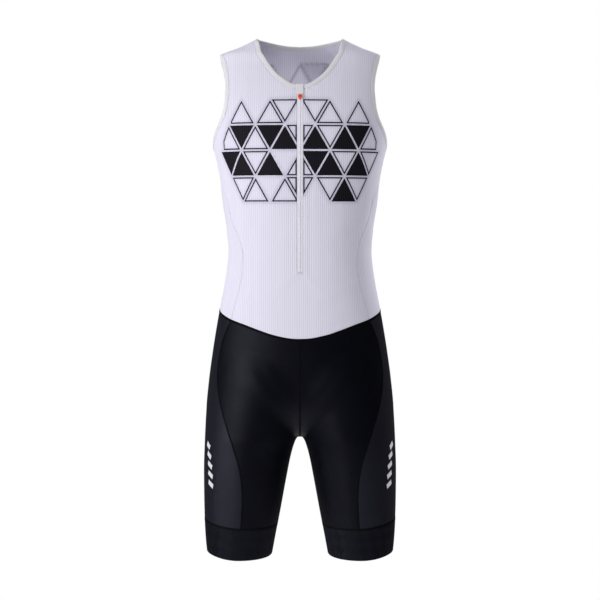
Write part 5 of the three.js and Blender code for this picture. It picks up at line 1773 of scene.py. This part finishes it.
# centre seams of the shorts, front and back
for _s0, _a in ((0.0, -514.6), (1.0, -449.0)):
    _z = np.concatenate([np.linspace(_a - 6, CROTCH_Z + 60, 150), CROTCH_Z + np.linspace(math.sqrt(60), 1.2, 90)[1:] ** 2])
    _p, _n = line_on(np.full_like(_z, _s0), _z, 1)
    black_ridges.append(ridge(_p, _n, 3.4, 0.26))
    twin(black, _p, _n, 1.05, radius=0.19, sink=-0.15)
# the waist: a turned tape where the top meets the shorts
_s = np.linspace(0, 1, 500)
_p1, _n1 = line_on(_s, waist_z(_s) - 2.0, 1)
_p2, _n2 = line_on(_s[::-1], waist_z(_s[::-1]) - 2.0, -1)
_p, _n = np.concatenate([_p1, _p2[1:]]), np.concatenate([_n1, _n2[1:]])
black_ridges.append(ridge(_p, _n, 3.9, 0.55, closed=True))
_p1, _n1 = line_on(_s, waist_z(_s) - 5.6, 1)
_p2, _n2 = line_on(_s[::-1], waist_z(_s[::-1]) - 5.6, -1)
black.row(np.concatenate([_p1, _p2[1:]]), np.concatenate([_n1, _n2[1:]]), radius=0.19)
_p1, _n1 = line_on(_s, waist_z(_s) + 1.9, 1)
_p2, _n2 = line_on(_s[::-1], waist_z(_s[::-1]) + 1.9, -1)
white.row(np.concatenate([_p1, _p2[1:]]), np.concatenate([_n1, _n2[1:]]), radius=0.16)
# neck binding
for _side in (1, -1):
    _s = np.linspace(NECK_START + 0.004, 1, 330)
    _is, _iz = neck_inside(_s)
    _ez = neck_z(_s)
    for _w, _out, _r in ((1.5 / 9, 0.3, 0.17), (-1.8 / 9, 0.0, 0.16)):
        _p, _n = surface(mix(_is, _s, _w), mix(_iz, _ez, _w), _side, _out)
        white.row(_p, _n, radius=_r)
# the zip's placket, its bar tack and the box under it
def over_print(mid):
    far, inside = edge_distance(mid[:, 0], mid[:, 2], CHEST_TILES)
    return inside | (far < 1.4)


for _x in (-14.0, -6.3, 6.3, 14.0):
    _z = np.linspace(-411 if abs(_x) > 10 else -399, ZIP_TOP_Z - 1.5, 220)
    _p, _n = at_u(np.full_like(_z, _x), _z)
    white.row(_p, _n, radius=0.18, keep=lambda mid: ~over_print(mid))
    black.row(_p, _n, radius=0.2, sink=-0.1, keep=over_print)
for _z0, _half in ((-411.5, 14.0), (-405.5, 9.5)):
    _x = np.linspace(-_half, _half, 60)
    _p, _n = at_u(_x, np.full_like(_x, _z0))
    white.row(_p, _n, radius=0.18)
for _k in range(9):
    _x = np.linspace(-5.2, 5.2, 20)
    _p, _n = at_u(_x, np.full_like(_x, BELLY_LEVEL - 0.9 - _k * 0.42))
    white.row(_p, _n, length=1.9, gap=0.15, radius=0.22, slant=0.35 if _k % 2 else -0.35)
# the garage's two sides
for _x in (-5.5, 5.5):
    _z = np.linspace(SLIDER_Z + 5.2, ZIP_TOP_Z + 6.5, 30)
    _p, _n = at_u(np.full_like(_z, _x), _z, 2.0)
    white.row(_p, _n, length=1.5, gap=0.7, radius=0.15)
add_piece(white.object("stitches_white", "thread_white"), "white_binding")
add_piece(black.object("stitches_black", "thread_black"), "black_lycra")
add_piece(merged("seam_tapes", black_ridges, "black_tape"), "black_lycra")

# ---------------------------------------------------------------- floor, light
def plain(name, colour, near, far):
    """A pale floor that fades into the background between two distances from the middle."""
    m = bpy.data.materials.new(name)
    m.use_nodes = True
    t = m.node_tree
    b = next(n for n in t.nodes if n.type == "BSDF_PRINCIPLED")
    noise = t.nodes.new("ShaderNodeTexNoise")
    noise.inputs["Scale"].default_value = 3.0
    tint = t.nodes.new("ShaderNodeMix")
    tint.data_type = "RGBA"
    t.links.new(noise.outputs[0], tint.inputs[0])
    tint.inputs[6].default_value = colour
    tint.inputs[7].default_value = tuple(min(1.0, c * 1.02) for c in colour[:3]) + (1,)
    t.links.new(tint.outputs[2], b.inputs["Base Color"])
    b.inputs["Roughness"].default_value = 0.9
    b.inputs["Specular IOR Level"].default_value = 0.1
    where = t.nodes.new("ShaderNodeNewGeometry")
    flat = t.nodes.new("ShaderNodeVectorMath")
    flat.operation = "MULTIPLY"
    flat.inputs[1].default_value = (1, 1, 0)
    size = t.nodes.new("ShaderNodeVectorMath")
    size.operation = "LENGTH"
    fade = t.nodes.new("ShaderNodeMapRange")
    fade.interpolation_type = "SMOOTHSTEP"
    fade.inputs[1].default_value, fade.inputs[2].default_value = near, far
    fade.inputs[3].default_value, fade.inputs[4].default_value = 1.0, 0.0
    t.links.new(where.outputs["Position"], flat.inputs[0])
    t.links.new(flat.outputs[0], size.inputs[0])
    t.links.new(size.outputs["Value"], fade.inputs[0])
    t.links.new(fade.outputs[0], b.inputs["Alpha"])
    return m


FLOOR_Z = -1.32
floor_mesh = bpy.data.meshes.new("floor")
_a = np.linspace(0, 2 * math.pi, 65)[:-1]
_rings = [0.0, 0.4, 0.8, 1.2]
_v = [(0, 0, FLOOR_Z)] + [(r * math.cos(t), r * math.sin(t), FLOOR_Z) for r in _rings[1:] for t in _a]
_fc = [(0, 1 + i, 1 + (i + 1) % 64) for i in range(64)]
for _k in range(len(_rings) - 2):
    _b = 1 + _k * 64
    _fc += [(_b + i, _b + 64 + i, _b + 64 + (i + 1) % 64, _b + (i + 1) % 64) for i in range(64)]
floor_mesh.from_pydata(_v, [], _fc)
floor_mesh.materials.append(plain("floor_pale", (0.90, 0.90, 0.905, 1), 0.25, 1.08))
floor = bpy.data.objects.new("floor", floor_mesh)
bpy.context.scene.collection.objects.link(floor)

# The studio is plain white to look at; its walls light the suit softly, more from behind than from the front.
world = bpy.data.worlds.new("studio")
bpy.context.scene.world = world
world.use_nodes = True
_t = world.node_tree
_t.nodes.clear()
_co = _t.nodes.new("ShaderNodeTexCoord")
_sep = _t.nodes.new("ShaderNodeSeparateXYZ")
_map = _t.nodes.new("ShaderNodeMapRange")
_map.interpolation_type = "SMOOTHSTEP"
_map.inputs[1].default_value, _map.inputs[2].default_value = -0.3, 0.9
_map.inputs[3].default_value, _map.inputs[4].default_value = 0.44, 0.80
_seen, _lit = _t.nodes.new("ShaderNodeBackground"), _t.nodes.new("ShaderNodeBackground")
_path, _pick = _t.nodes.new("ShaderNodeLightPath"), _t.nodes.new("ShaderNodeMixShader")
_out = _t.nodes.new("ShaderNodeOutputWorld")
_t.links.new(_co.outputs["Generated"], _sep.inputs[0])
_t.links.new(_sep.outputs[1], _map.inputs[0])
_t.links.new(_map.outputs[0], _lit.inputs["Color"])
_soft = _t.nodes.new("ShaderNodeMath")
_soft.operation = "MULTIPLY_ADD"
_soft.inputs[1].default_value, _soft.inputs[2].default_value = -0.93, 1.0
_t.links.new(_path.outputs["Is Glossy Ray"], _soft.inputs[0])
_t.links.new(_soft.outputs[0], _lit.inputs["Strength"])
_seen.inputs["Color"].default_value = (1, 1, 1, 1)
_seen.inputs["Strength"].default_value = 1.0
_t.links.new(_path.outputs["Is Camera Ray"], _pick.inputs[0])
_t.links.new(_lit.outputs[0], _pick.inputs[1])
_t.links.new(_seen.outputs[0], _pick.inputs[2])
_t.links.new(_pick.outputs[0], _out.inputs["Surface"])


def area_light(name, where, target, size, power, colour=(1, 1, 1)):
    data = bpy.data.lights.new(name, "AREA")
    data.shape = "RECTANGLE"
    data.size, data.size_y = size
    data.energy = power
    data.color = colour
    ob = bpy.data.objects.new(name, data)
    bpy.context.scene.collection.objects.link(ob)
    ob.location = where
    from mathutils import Vector
    ob.rotation_euler = (Vector(target) - Vector(where)).to_track_quat("-Z", "Y").to_euler()
    return ob


area_light("key", (-2.7, -2.1, -0.1), (0, 0, -0.5), (1.2, 1.8), 70, (1.0, 0.985, 1.0))
area_light("front", (-0.85, -2.7, 0.25), (0, 0, -0.3), (0.7, 0.7), 12, (1.0, 1.0, 1.0)).visible_glossy = False
area_light("fill", (2.2, -2.7, 0.0), (0, 0, -0.45), (1.2, 1.8), 5, (0.97, 0.97, 1.0)).visible_glossy = False
area_light("rim_left", (-1.6, 1.4, 0.1), (0, 0, -0.5), (0.5, 2.0), 7).visible_glossy = False
area_light("rim_right", (1.6, 1.4, 0.1), (0, 0, -0.5), (0.5, 2.0), 30).visible_glossy = False

view = bpy.context.scene.view_settings
view.view_transform = "Standard"
view.look = "None"
view.exposure = 0.0
view.gamma = 1.0

# ---------------------------------------------------------------- the end
bpy.context.view_layer.update()
